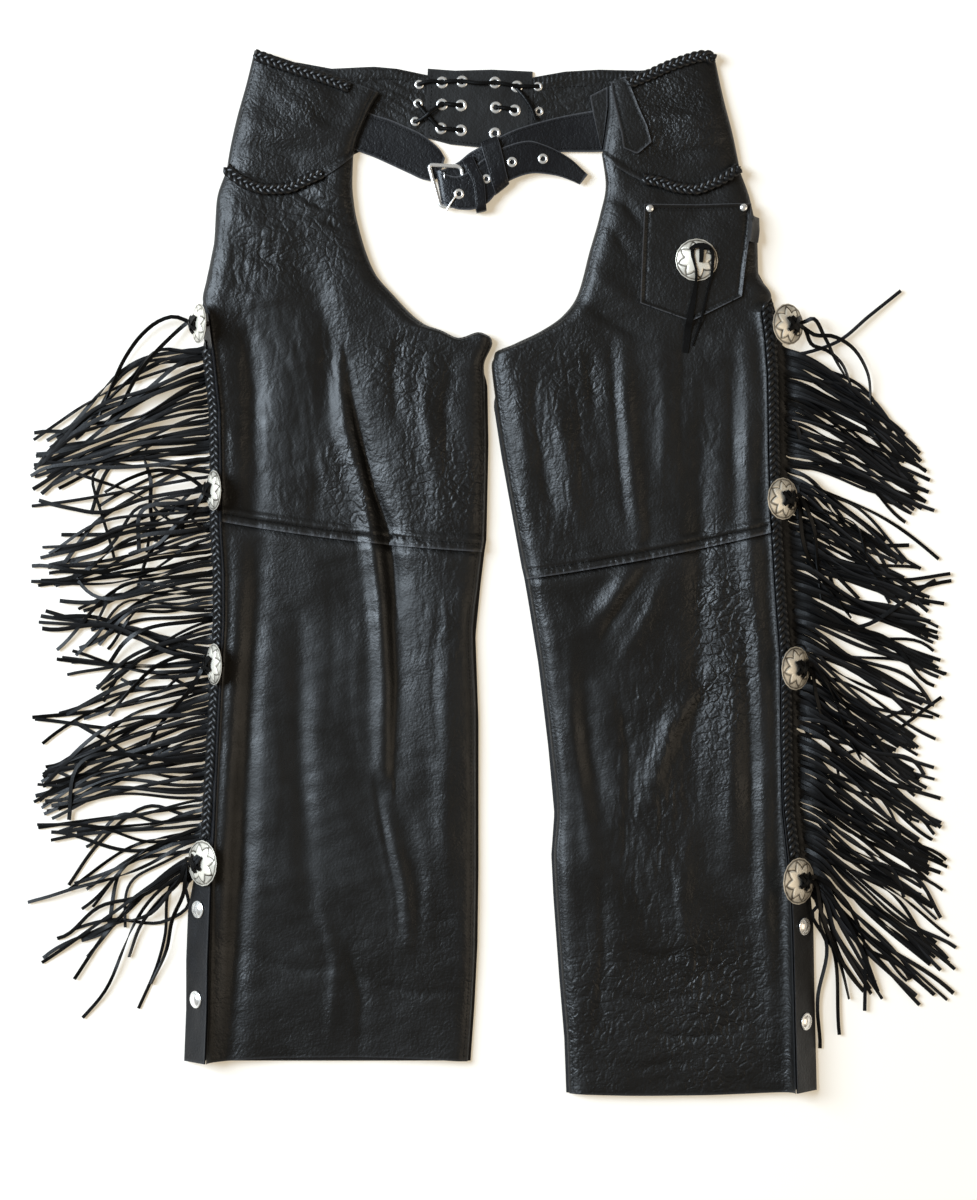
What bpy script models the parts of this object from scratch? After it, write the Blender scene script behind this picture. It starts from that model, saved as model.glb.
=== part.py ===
"""Fringed leather riding chaps, laid flat on their back panels.

The floor is Z = 0, +X is the right of the garment as it lies, +Y is the waist end.
Tables give places on a plan drawing, in plan units counted right and down from its corner.
plan() turns them into metres, so the leg length at the top sets the size of everything.
Heights, thicknesses and small fittings are in millimetres, turned into metres by MM.
"""

import math
from collections import namedtuple

import bmesh
import bpy
import numpy as np
from mathutils import Vector
from mathutils.bvhtree import BVHTree

MM = 0.001

# Driving sizes.
OUTSEAM = 962.35 * MM  # waist edge to hem, down the side of the left leg
OUTSEAM_ON_PLAN = 1013.0
UNIT = OUTSEAM / OUTSEAM_ON_PLAN
PLAN_MIDDLE = (494.8, 572.3)  # the plan point that lies over the origin
LEATHER = 1.5 * MM
BELT_LEATHER = 1.9 * MM
GAP = 0.3 * MM
FLOOR_GAP = LEATHER + GAP  # the lowest that a front panel comes, just over the back panel
CONCHO_DIAMETER = 40 * MM
SNAP_DIAMETER = 16.6 * MM
RIVET_DIAMETER = 7 * MM
SIDE_SEAM = 0.6 * MM  # between the side flap's upper edge and the front panel
STRANDS_A_SIDE = 80
STRAND_WIDTH = 3.7 * MM
STRAND_THICKNESS = 1.2 * MM
SHARP_ANGLE = math.radians(50)

COLOURS = {
    "leather": ((0.012, 0.012, 0.013, 1), 0.45, 0.0),
    "braid": ((0.012, 0.011, 0.011, 1), 0.5, 0.0),
    "nickel": ((0.75, 0.72, 0.67, 1), 0.3, 1.0),
    "label": ((0.02, 0.02, 0.02, 1), 0.7, 0.0),
}


def clear_scene():
    for old in list(bpy.context.scene.objects):
        bpy.data.objects.remove(old)


def material(kind):
    found = bpy.data.materials.get(kind)
    if found:
        return found
    colour, roughness, metallic = COLOURS[kind]
    made = bpy.data.materials.new(kind)
    made.use_nodes = True
    shader = made.node_tree.nodes["Principled BSDF"]
    shader.inputs["Base Color"].default_value = colour
    shader.inputs["Roughness"].default_value = roughness
    shader.inputs["Metallic"].default_value = metallic
    return made


def plan(x, y, height=0.0):
    """A plan place as a point in metres; height is in metres already."""
    return Vector(((x - PLAN_MIDDLE[0]) * UNIT, (PLAN_MIDDLE[1] - y) * UNIT, height))


def add_object(name, points, faces, kind):
    mesh = bpy.data.meshes.new(name)
    mesh.from_pydata([tuple(p) for p in points], [], faces)
    work = bmesh.new()
    work.from_mesh(mesh)
    bmesh.ops.recalc_face_normals(work, faces=work.faces)
    work.to_mesh(mesh)
    work.free()
    mesh.shade_smooth()
    mesh.set_sharp_from_angle(angle=SHARP_ANGLE)
    mesh.materials.append(material(kind))
    made = bpy.data.objects.new(name, mesh)
    bpy.context.scene.collection.objects.link(made)
    return made


def wall(name, upper, lower, kind, closed=False):
    """One closed wall between two grids of points, each a list of rows.

    A closed wall joins its last row to its first, as a keeper loop does.
    """
    rows = len(upper)
    columns = len(upper[0])
    points = [p for row in upper for p in row] + [p for row in lower for p in row]
    under = rows * columns

    def at(row, column, layer=0):
        return layer + (row % rows) * columns + column

    faces = []
    for row in range(rows if closed else rows - 1):
        for column in range(columns - 1):
            # Both faces are split along the same diagonal, so the wall never crosses itself.
            first = [(row, column), (row, column + 1), (row + 1, column + 1)]
            second = [(row, column), (row + 1, column + 1), (row + 1, column)]
            for corners in (first, second):
                faces.append([at(r, c) for r, c in corners])
                faces.append([at(r, c, under) for r, c in reversed(corners)])
        for edge in (0, columns - 1):
            faces.append([at(row, edge), at(row + 1, edge), at(row + 1, edge, under), at(row, edge, under)])
    if not closed:
        for end in (0, rows - 1):
            for column in range(columns - 1):
                ends = [at(end, column), at(end, column + 1)]
                faces.append(ends + [at(end, column + 1, under), at(end, column, under)])
    return add_object(name, points, faces, kind)


def band(name, rows, thickness, kind, closed=False):
    """A strap: a wall of even thickness round rows of (edge, other edge) points."""
    count = len(rows)
    upper, lower = [], []
    for index, (first, second) in enumerate(rows):
        before = rows[(index - 1) % count if closed else max(index - 1, 0)]
        after = rows[(index + 1) % count if closed else min(index + 1, count - 1)]
        along = (after[0] + after[1]) - (before[0] + before[1])
        normal = (second - first).cross(along).normalized() * (thickness / 2)
        upper.append([first + normal, second + normal])
        lower.append([first - normal, second - normal])
    return wall(name, upper, lower, kind, closed)


def tube(name, path, radius, sides, kind, closed=False):
    """A round bar or lace along a path that stays near level."""
    count = len(path)
    points = []
    for index, centre in enumerate(path):
        before = path[(index - 1) % count if closed else max(index - 1, 0)]
        after = path[(index + 1) % count if closed else min(index + 1, count - 1)]
        along = (after - before).normalized()
        side = along.cross(Vector((0, 0, 1))).normalized()
        up = side.cross(along)
        for step in range(sides):
            angle = 2 * math.pi * step / sides
            points.append(centre + radius * (math.cos(angle) * side + math.sin(angle) * up))
    faces = []
    for index in range(count if closed else count - 1):
        here, there = index * sides, ((index + 1) % count) * sides
        for step in range(sides):
            beside = (step + 1) % sides
            faces.append([here + step, here + beside, there + beside, there + step])
    if not closed:
        faces.append(list(range(sides)))
        faces.append([(count - 1) * sides + step for step in range(sides)])
    return add_object(name, points, faces, kind)


def turned(name, profile, centre, normal, sides, kind):
    """A domed disc: (radius, height) rings from the rim's underside to the crown."""
    across = normal.orthogonal().normalized()
    other = normal.cross(across)
    points = [centre + normal * profile[0][1]]
    for radius, height in profile[1:-1]:
        for step in range(sides):
            angle = 2 * math.pi * step / sides
            spoke = math.cos(angle) * across + math.sin(angle) * other
            points.append(centre + radius * spoke + normal * height)
    points.append(centre + normal * profile[-1][1])
    rings = len(profile) - 2
    faces = []
    for step in range(sides):
        beside = (step + 1) % sides
        faces.append([0, 1 + step, 1 + beside])
        for ring in range(rings - 1):
            low, high = 1 + ring * sides, 1 + (ring + 1) * sides
            faces.append([low + step, low + beside, high + beside, high + step])
        top = 1 + (rings - 1) * sides
        faces.append([len(points) - 1, top + step, top + beside])
    return add_object(name, points, faces, kind)


def between(table, key, column, at):
    """A column of a table read between its rows."""
    keys = [getattr(row, key) for row in table]
    return float(np.interp(at, keys, [getattr(row, column) for row in table]))


# The side of each leg: the line of its braid, how high it lies and how it leans outward.
# out and in_ are how far the side flap reaches down and up its own slope from that line.
Side = namedtuple("Side", "y x height lean out in_")
SIDES = {
    "left": [
        Side(314, 205, 10, 60, 8, 8),
        Side(332, 207, 10, 62, 8, 9),
        Side(356, 210, 10, 62, 8, 9),
        Side(413, 216, 10, 62, 8, 9),
        Side(470, 217, 10, 62, 8, 9),
        Side(526, 217, 10, 62, 8, 9),
        Side(574, 220, 10, 62, 8, 9),
        Side(622, 220, 10, 62, 8, 9),
        Side(698, 216, 10, 62, 8, 9),
        Side(770, 212, 10, 60, 8, 10),
        Side(832, 208, 10, 55, 8.5, 11),
        Side(880, 202, 12, 48, 12, 14),
        Side(910, 199, 13, 45, 15, 16),
        Side(960, 197, 13, 45, 15, 16),
        Side(1010, 197, 13, 45, 15, 15),
        Side(1062, 195, 13, 45, 15, 15),
    ],
    "right": [
        Side(314, 766, 14, 42, 16, 6),
        Side(336, 769, 14, 41, 16.5, 6),
        Side(375, 772, 14, 41, 16.5, 6),
        Side(451, 773, 14, 41, 16.5, 6),
        Side(518, 775, 14, 41, 16.5, 6),
        Side(598, 780, 13, 42, 15, 6),
        Side(660, 785, 13, 46, 14, 7),
        Side(740, 786, 13, 43, 14.5, 7),
        Side(809, 788, 13, 43, 14.5, 8),
        Side(850, 793, 13, 44, 14.3, 9),
        Side(890, 800, 13, 45, 14, 13),
        Side(926, 803, 13, 47, 15, 16),
        Side(975, 804, 13, 48, 15, 16),
        Side(1021, 805, 13, 48, 15, 16),
        Side(1091, 807, 13, 47, 14, 16),
    ],
}
OUTWARD = {"left": -1, "right": 1}


def slope_point(side, y, down, off=0.0):
    """A point on a leg's side: down its slope from the braid line, off its surface."""
    table = SIDES[side]
    lean = math.radians(between(table, "y", "lean", y))
    outward = OUTWARD[side]
    base = plan(between(table, "y", "x", y), y, between(table, "y", "height", y) * MM)
    slope = Vector((outward * math.cos(lean), 0, -math.sin(lean)))
    normal = Vector((outward * math.sin(lean), 0, math.cos(lean)))
    return base + slope * down + normal * off


# Rows across each front panel, from its outer side to its inner edge. bow is how far the middle
# of the row hangs below the straight line; outer_z, crown and inner_z are heights in mm.
# An outer_x of None follows the side flap's upper edge.
Row = namedtuple("Row", "outer_x outer_y inner_x inner_y bow outer_z crown inner_z")
YOKES = {
    "left": [
        Row(254, 49, 379, 92, -1, 4.0, 10, 7.0),
        Row(246, 82, 371, 106, 3, 3.6, 13, 7.2),
        Row(236, 118, 363, 124, 9, 3.6, 14, 7.2),
        Row(229, 150, 356, 142, 18, 3.6, 13, 7.2),
        Row(226, 168, 353, 152, 26, 3.6, 12, 6.0),
    ],
    "right": [
        Row(714, 51, 609, 86, -1, 4.0, 10, 7.0),
        Row(724, 97, 609, 106, 3, 3.6, 13, 7.2),
        Row(733, 132, 606, 130, 10, 3.6, 14, 7.2),
        Row(738, 156, 603.5, 146, 20, 3.6, 13, 7.2),
        Row(740, 168, 602, 152, 26, 3.6, 12, 6.0),
    ],
}
LEGS = {
    "left": [
        Row(226, 168.5, 353, 152.5, 26, 3.6, 12, 6.0),
        Row(216, 200, 352, 182, 16, 3.6, 14, 4.2),
        Row(213.5, 240, 354, 205, 8, 3.6, 15, 3.6),
        Row(206, 278, 361, 236, 3, 3.6, 15, 3.6),
        Row(202, 299, 374, 271, 0, 4.4, 15, 3.6),
        Row(None, 314, 391, 292, 0, None, 15, 3.6),
        Row(None, 332, 430, 326, 0, None, 15, 3.6),
        Row(None, 352, 474, 334, 5, None, 15, 3.6),
        Row(None, 368, 494, 338, 0, None, 15, 3.8),
        Row(None, 410, 485, 385, 0, None, 15, 3.6),
        Row(None, 455, 486, 445, 0, None, 15, 3.6),
        Row(None, 509, 484, 539, 4, None, 15, 3.6),
        Row(None, 522, 482, 552, 4, None, 15, 3.6),
        Row(None, 582, 478, 585, 3, None, 14, 3.6),
        Row(None, 643, 473, 636, 0, None, 14, 3.6),
        Row(None, 725, 476, 722, 0, None, 14, 3.6),
        Row(None, 790, 476, 800, 0, None, 14, 3.6),
        Row(None, 862, 476, 870, 0, None, 14, 3.6),
        Row(None, 935, 475, 945, 0, None, 13, 3.6),
        Row(None, 1005, 472, 1006, 0, None, 12, 3.6),
        Row(None, 1062, 468, 1062, -5, None, 11, 3.6),
    ],
    "right": [
        Row(740, 168.5, 602, 152.5, 26, 3.6, 12, 6.0),
        Row(751, 200, 606, 184, 16, 3.6, 14, 4.2),
        Row(758, 240, 600, 215, 8, 3.6, 15, 3.6),
        Row(759, 272, 590, 250, 3, 3.6, 15, 3.6),
        Row(772, 296, 577, 296, 0, 4.4, 15, 3.6),
        Row(None, 314, 562, 316, 0, None, 15, 3.6),
        Row(None, 330, 540, 331, 0, None, 15, 3.6),
        Row(None, 345, 515, 343, 0, None, 15, 3.6),
        Row(None, 360, 491, 356, 0, None, 15, 3.8),
        Row(None, 405, 496, 404, 0, None, 15, 3.6),
        Row(None, 455, 504, 456, 0, None, 15, 3.6),
        Row(None, 520, 524, 566, 3, None, 15, 3.6),
        Row(None, 533, 527, 579, 3, None, 15, 3.6),
        Row(None, 580, 531, 602, 3, None, 14, 3.6),
        Row(None, 660, 541, 664, 0, None, 14, 3.6),
        Row(None, 740, 551, 748, 0, None, 14, 3.6),
        Row(None, 809, 557, 814, 0, None, 14, 3.6),
        Row(None, 850, 554, 856, 0, None, 14, 3.6),
        Row(None, 890, 556, 897, 0, None, 14, 3.6),
        Row(None, 970, 562, 980, 0, None, 13, 3.6),
        Row(None, 1035, 567, 1040, 0, None, 12, 3.6),
        Row(None, 1091, 569, 1094, 3, None, 11, 3.6),
    ],
}
CROTCH_ROW = {"left": 8, "right": 8}  # the leg row that ends at the crotch's lowest corner
SEAM_ROW = {"left": 12, "right": 12}  # the row of the knee seam; the lap starts a row above it

# The largest folds, as lines on the plan. depth is in mm, below zero for a trough.
Fold = namedtuple("Fold", "side depth width line")
FOLDS = [
    Fold("left", 6, 11, [
        (238, 545), (239, 582), (237, 643), (231, 725),
        (227, 790), (223, 862), (217, 1055),
    ]),
    Fold("left", -4, 11, [
        (260, 545), (254, 643), (250, 704), (247, 786),
        (242, 882), (236, 964), (230, 1050),
    ]),
    Fold("left", 7, 9, [
        (354, 369), (354, 399), (359, 436), (371, 473),
        (386, 523), (394, 602), (401, 684), (396, 775),
    ]),
    Fold("left", -4, 11, [(375, 440), (392, 500), (412, 600), (418, 700), (412, 790)]),
    Fold("left", 4, 9, [(384, 806), (394, 851), (404, 892), (408, 940)]),
    Fold("left", -3, 14, [(300, 250), (330, 330), (330, 430)]),
    Fold("left", 3, 12, [(440, 620), (445, 760), (446, 900)]),
    Fold("left", -3, 12, [(300, 620), (300, 760), (310, 900)]),
    Fold("right", 5, 12, [
        (748, 340), (748, 452), (750, 553), (757, 645),
        (764, 771), (765, 907), (775, 1031), (779, 1080),
    ]),
    Fold("right", 4, 10, [(621, 343), (625, 408), (630, 473), (638, 540)]),
    Fold("right", 4, 12, [(731, 645), (733, 740), (731, 855)]),
    Fold("right", -4, 13, [(700, 400), (700, 520), (700, 640), (690, 800)]),
    Fold("right", 4, 10, [(635, 565), (612, 600), (592, 624)]),
    Fold("right", -4, 13, [(584, 687), (588, 750), (601, 814)]),
    Fold("right", 4, 11, [(700, 682), (668, 736), (650, 800)]),
    Fold("right", 3, 11, [(560, 400), (566, 450), (575, 520)]),
]
MIDDLE_COLUMNS = 11
EDGE_STEPS = (0.0, 3.0, 8.0, 17.0)  # mm in from each long edge
ROUND_OUTER = 20.0 * MM
ROUND_INNER = 17.0 * MM
FADE = (0.12, 0.76)  # a fold starts this share into half a sine wave, and runs over this share of it
LEAST_UPRIGHT = 0.6  # the steepest slope on which a panel's thickness is still measured in full
LAP_CLEAR = 0.45 * MM


def line_distance(point, line):
    """How far a plan point is from a line of plan points, and how far along, 0 to 1."""
    best, where, run = math.inf, 0.0, 0.0
    lengths = [math.dist(a, b) for a, b in zip(line, line[1:])]
    for (a, b), length in zip(zip(line, line[1:]), lengths):
        t = ((point[0] - a[0]) * (b[0] - a[0]) + (point[1] - a[1]) * (b[1] - a[1])) / length**2
        t = min(1.0, max(0.0, t))
        far = math.dist(point, (a[0] + t * (b[0] - a[0]), a[1] + t * (b[1] - a[1])))
        if far < best:
            best, where = far, run + t * length
        run += length
    return best, where / run


def fold_height(side, x, y):
    """What the folds add to a front panel at a plan place, in metres."""
    total = 0.0
    for fold in FOLDS:
        if fold.side == side:
            far, along = line_distance((x, y), fold.line)
            fade = math.sin(math.pi * (FADE[0] + FADE[1] * along))
            total += fold.depth * MM * fade * math.exp(-((far / fold.width) ** 2))
    return total


def row_steps(width):
    """Places across a row: close together at both edges, even in the middle."""
    edge = [step * MM / width for step in EDGE_STEPS]
    middle = np.linspace(edge[-1], 1 - edge[-1], MIDDLE_COLUMNS)[1:-1]
    return edge + list(middle) + [1 - step for step in reversed(edge)]


def row_ends(side, row):
    """The two ends of a row: plan places, and the height of the outer one."""
    if row.outer_x is not None:
        return (row.outer_x, row.outer_y), (row.inner_x, row.inner_y), row.outer_z * MM
    reach = between(SIDES[side], "y", "in_", row.outer_y) * MM
    top = slope_point(side, row.outer_y, -reach)
    seam = (SIDE_SEAM + LEATHER / 2) / UNIT * -OUTWARD[side]
    outer = (top.x / UNIT + PLAN_MIDDLE[0] + seam, row.outer_y)
    return outer, (row.inner_x, row.inner_y), top.z + LEATHER


def rounded(distance, reach):
    """A quarter round: 0 at an edge, 1 from reach inwards."""
    inside = min(1.0, max(0.0, distance / reach))
    return math.sqrt(1 - (1 - inside) ** 2)


def front_points(side, row):
    """The outer face of a front panel along one row."""
    (outer_x, outer_y), (inner_x, inner_y), outer_z = row_ends(side, row)
    width = math.dist((outer_x, outer_y), (inner_x, inner_y)) * UNIT
    points = []
    for step in row_steps(width):
        x = outer_x + (inner_x - outer_x) * step
        y = outer_y + (inner_y - outer_y) * step + row.bow * 4 * step * (1 - step)
        crown = row.crown * MM + fold_height(side, x, y)
        rise = rounded(step * width, ROUND_OUTER)
        fall = rounded((1 - step) * width, ROUND_INNER)
        height = outer_z + (crown - outer_z) * rise
        inner_z = row.inner_z * MM
        points.append(plan(x, y, inner_z + (height - inner_z) * fall))
    return points


def under_face(grid, lowest):
    """The inner face below an outer one: the leather's thickness, measured on the slope."""
    rows, columns = len(grid), len(grid[0])
    under = []
    for r in range(rows):
        line = []
        for c in range(columns):
            across = grid[r][min(c + 1, columns - 1)] - grid[r][max(c - 1, 0)]
            along = grid[min(r + 1, rows - 1)][c] - grid[max(r - 1, 0)][c]
            normal = across.cross(along).normalized()
            drop = LEATHER / max(abs(normal.z), LEAST_UPRIGHT)
            point = grid[r][c].copy()
            point.z = max(point.z - drop, lowest)
            line.append(point)
        under.append(line)
    return under


def make_fronts(side):
    """Yoke, thigh and shin panels; the thigh laps over the shin at the knee seam."""
    yoke = [front_points(side, row) for row in YOKES[side]]
    wall(f"yoke_front_{side}", yoke, under_face(yoke, FLOOR_GAP), "leather")
    leg = [front_points(side, row) for row in LEGS[side]]
    seam = SEAM_ROW[side]
    shin = leg[seam - 1 :]
    shin_under = under_face(shin, FLOOR_GAP)
    lift = Vector((0, 0, 1))
    lap = [
        [p + lift * (LAP_CLEAR + p.z - q.z) for p, q in zip(top, low)]
        for top, low in zip(shin[:2], shin_under[:2])
    ]
    thigh = leg[: seam - 1] + lap
    thigh_under = under_face(thigh[:-2] + shin[:2], FLOOR_GAP)
    for index in (0, 1):
        thigh_under[seam - 1 + index] = [p + lift * GAP for p in shin[index]]
    wall(f"thigh_front_{side}", thigh, thigh_under, "leather")
    wall(f"shin_front_{side}", shin, shin_under, "leather")


def flat_panel(name, rows, lowest=0.0, thickness=LEATHER):
    """A panel that lies flat: rows of (plan place, plan place)."""
    lower = [[plan(*a, lowest), plan(*b, lowest)] for a, b in rows]
    upper = [[plan(*a, lowest + thickness), plan(*b, lowest + thickness)] for a, b in rows]
    return wall(name, upper, lower, "leather")


SEAT_MARGIN = 12.0  # plan units that the back's seat cut-out stays inside the front's edge
BACK_SHOWS = 2.5  # plan units of the back panel that show beyond the inner leg
BACK_INSET = 1.5 * MM  # how far the back stops short of the side flap's lower edge


def make_leg_back(side):
    """The flat back panel under one leg, cut away at the seat."""
    outward = OUTWARD[side]
    rows = []
    for index, row in enumerate(LEGS[side]):
        if index == 0:
            continue
        inner = BACK_SHOWS if index > CROTCH_ROW[side] else -SEAT_MARGIN
        if row.outer_x is None:
            reach = between(SIDES[side], "y", "out", row.outer_y) * MM
            low = slope_point(side, row.outer_y, reach - BACK_INSET)
            outer_x = low.x / UNIT + PLAN_MIDDLE[0]
        else:
            outer_x = row.outer_x
        rows.append(((outer_x, row.outer_y), (row.inner_x - outward * inner, row.inner_y)))
    flat_panel(f"leg_back_{side}", rows)


# The back yokes, from the side of the hip to the laced end: upper edge, then lower edge.
YOKE_BACKS = {
    "left": [
        ((256, 57), (226, 166)),
        ((298, 61), (270, 170)),
        ((331, 67), (322, 168)),
        ((374, 65), (368, 146)),
        ((396, 67), (396, 140)),
        ((427.3, 74), (423.3, 136)),
    ],
    "right": [
        ((712, 60), (740, 166)),
        ((680, 66), (700, 172)),
        ((640, 69), (640, 168)),
        ((600, 68), (600, 148)),
        ((565, 70), (564, 146)),
        ((533.4, 76), (533, 144)),
    ],
}
LACING_PANEL = [
    ((428, 67), (424, 136)),
    ((455, 69), (450, 143)),
    ((492, 68), (490, 147)),
    ((532.4, 70), (532, 147)),
]


def make_side_flap(side):
    """The flap that carries braid, fringe, conchos and snaps, sloping down to the floor."""
    rows = []
    for row in SIDES[side]:
        rows.append((slope_point(side, row.y, -row.in_ * MM), slope_point(side, row.y, row.out * MM)))
    band(f"side_flap_{side}", rows, LEATHER, "leather")


# Fringe: how the strands of one part of a side lie. angle is down from straight out, in degrees.
Lie = namedtuple("Lie", "y angle bend length")
FRINGES = {
    "left": [
        Lie(345, 34, 12, 192),
        Lie(400, 35, 8, 188),
        Lie(470, 34, -4, 188),
        Lie(560, 28, 6, 178),
        Lie(640, 26, 10, 176),
        Lie(720, 24, 4, 178),
        Lie(800, 25, 10, 174),
        Lie(850, 34, 12, 178),
        Lie(876, 56, 8, 160),
    ],
    "right": [
        Lie(345, 38, 8, 178),
        Lie(400, 41, 6, 178),
        Lie(470, 36, 8, 170),
        Lie(560, 30, 6, 166),
        Lie(640, 25, 10, 156),
        Lie(750, 26, 6, 162),
        Lie(830, 30, 8, 164),
        Lie(865, 42, 14, 162),
        Lie(892, 64, 10, 150),
    ],
}
FRINGE_LEVELS = (1.15 * MM, 4.75 * MM, 2.95 * MM)  # strands lie in three levels, so none meet
LEVEL_TURN = (-5.0, 5.0, 0.0)
STRIP_WIDTH = 3.0 * MM
STRAND_STEPS = (14 * MM, 0.52)  # the first ring's place, and the second as a share of the length
ROOT_HEIGHT = 2.6 * MM
ROOT_TURN_LIMIT = 36.0  # steeper roots would crowd into each other
ROOT_SHARE = 0.85  # how much of the bunch's angle a root already has
STRAND_WAVES = ((1.6, 2.1, 0.0), (1.2, 0.83, 1.0))  # degrees, then each wave's pace and start
LENGTH_WAVE = (0.05, 3.7)  # share of the length, then the wave's pace


def strand_line(side, y, root, number):
    """Points down the middle of one strand, and its direction at each."""
    table = FRINGES[side]
    level = number % len(FRINGE_LEVELS)
    lie = between(table, "y", "angle", y)
    wave = sum(size * math.sin(pace * number + start) for size, pace, start in STRAND_WAVES)
    angle = lie + LEVEL_TURN[level] + wave
    bend = between(table, "y", "bend", y)
    share, pace = LENGTH_WAVE
    length = between(table, "y", "length", y) * MM * (1 + share * math.sin(pace * number))
    stations = (STRAND_STEPS[0], STRAND_STEPS[1] * length, length)
    turns = (min(ROOT_TURN_LIMIT, ROOT_SHARE * lie), angle - bend / 2, angle + bend / 2)
    place = root.copy()
    place.z = FRINGE_LEVELS[level]
    line, before = [], 0.0
    for station, turn in zip(stations, turns):
        heading = math.radians(turn)
        direction = Vector((OUTWARD[side] * math.cos(heading), -math.sin(heading), 0))
        place = place + direction * (station - before)
        before = station
        line.append((place.copy(), direction))
    return line


def make_fringe(side):
    """A narrow strip beside the flap, with every strand drawn out of its outer edge."""
    top, bottom = FRINGES[side][0].y, FRINGES[side][-1].y
    outward = OUTWARD[side]
    half = STRAND_THICKNESS / 2
    points, faces = [], []
    edges = []
    for step in range(STRANDS_A_SIDE + 1):
        y = top + (bottom - top) * step / STRANDS_A_SIDE
        reach = between(SIDES[side], "y", "out", y) * MM
        inner = slope_point(side, y, reach)
        inner.x += outward * (LEATHER / 2 + GAP)
        inner.z = ROOT_HEIGHT
        outer = inner + Vector((outward * STRIP_WIDTH, 0, 0))
        edges.append((inner, outer))
        rise = Vector((0, 0, half))
        points += [inner - rise, inner + rise, outer - rise, outer + rise]
    for step in range(STRANDS_A_SIDE):
        here, there = 4 * step, 4 * (step + 1)
        faces.append([here, there, there + 2, here + 2])
        faces.append([here + 1, here + 3, there + 3, there + 1])
        faces.append([here, here + 1, there + 1, there])
    faces.append([0, 2, 3, 1])
    last = 4 * STRANDS_A_SIDE
    faces.append([last, last + 1, last + 3, last + 2])
    for step in range(STRANDS_A_SIDE):
        y = top + (bottom - top) * (step + 0.5) / STRANDS_A_SIDE
        root = (edges[step][1] + edges[step + 1][1]) / 2
        ring = [4 * step + 2, 4 * step + 3, 4 * (step + 1) + 3, 4 * (step + 1) + 2]
        line = strand_line(side, y, root, step)
        for place, direction in line[:-1]:
            across = Vector((0, 0, 1)).cross(direction).normalized() * (STRAND_WIDTH / 2)
            if across.y < 0:
                across = -across
            rise = Vector((0, 0, half))
            start = len(points)
            points += [
                place + across - rise,
                place + across + rise,
                place - across + rise,
                place - across - rise,
            ]
            fresh = [start, start + 1, start + 2, start + 3]
            for corner in range(4):
                beside = (corner + 1) % 4
                faces.append([ring[corner], ring[beside], fresh[beside], fresh[corner]])
            ring = fresh
        points.append(line[-1][0])
        for corner in range(4):
            faces.append([ring[corner], ring[(corner + 1) % 4], len(points) - 1])
    add_object(f"fringe_{side}", points, faces, "leather")


BRAID_WIDTH = 9.0 * MM
BRAID_HEIGHT = 3.6 * MM
BRAID_CLEAR = 0.7 * MM
PLAIT = 4.2 * MM  # half a plait: the braid swells to one side, then to the other
SIDE_PLAIT = 1.4 * PLAIT
SWELL_ACROSS = 0.14
CREST = (0.78, 0.22)  # the crests' mean height and swell, as shares of the braid's height
CREST_ACROSS = 0.62  # where the crests lie, as a share of half the width
SIDE_BRAIDS = {"left": (350, 838), "right": (304, 856)}  # where each starts and ends
SIDE_BRAID_PLACES = 30


def braid(name, places, width=BRAID_WIDTH):
    """A braid along (point, normal, across) places, swelling to each side in turn."""
    upper, lower = [], []
    for index, (point, normal, across) in enumerate(places):
        swell = 1.0 if index % 2 else -1.0
        left = across * (-width / 2 * (1 + SWELL_ACROSS * swell))
        right = across * (width / 2 * (1 - SWELL_ACROSS * swell))
        lower.append([point + left, point + right])
        first = normal * BRAID_HEIGHT * (CREST[0] + CREST[1] * swell)
        second = normal * BRAID_HEIGHT * (CREST[0] - CREST[1] * swell)
        upper.append([point + left * CREST_ACROSS + first, point + right * CREST_ACROSS + second])
    wall(name, upper, lower, "braid")


def even_places(line, step):
    """Places about step apart along a line of plan points."""
    steps = [0.0]
    for a, b in zip(line, line[1:]):
        steps.append(steps[-1] + math.dist(a, b) * UNIT)
    count = max(2, round(steps[-1] / step))
    along = np.linspace(0, steps[-1], count + 1)
    xs = np.interp(along, steps, [p[0] for p in line])
    ys = np.interp(along, steps, [p[1] for p in line])
    return list(zip(xs.tolist(), ys.tolist()))


def make_side_braid(side):
    table = SIDES[side]
    line = [(between(table, "y", "x", y), y) for y in np.linspace(*SIDE_BRAIDS[side], SIDE_BRAID_PLACES)]
    places = []
    for _, y in even_places(line, SIDE_PLAIT):
        point = slope_point(side, y, 0, LEATHER / 2 + BRAID_CLEAR)
        normal = leaning(side, between(table, "y", "lean", y))
        places.append((point, normal, normal.cross(Vector((0, 1, 0))).normalized()))
    braid(f"side_braid_{side}", places)


Trim = namedtuple("Trim", "name line lift")
BRAIDS = [
    Trim("waist_braid_left", [(255, 55), (282, 65), (306, 73), (331, 81), (349, 88)], 0.6),
    Trim("hip_braid_left", [
        (228, 170), (236, 178), (253, 186), (267, 190),
        (286, 189), (306, 182), (322, 176),
    ], 0.6),
    Trim("waist_braid_right", [(638, 82), (655, 74.5), (673, 67), (712, 57)], 0.6),
    Trim("hip_braid_right", [
        (643, 180), (657, 183), (675, 188), (694, 190),
        (710, 186), (726, 179), (738, 171),
    ], 0.6),
]


LOOK_SPOKES = 8
LOOK_SHARES = (0.5, 1.0)


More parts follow.
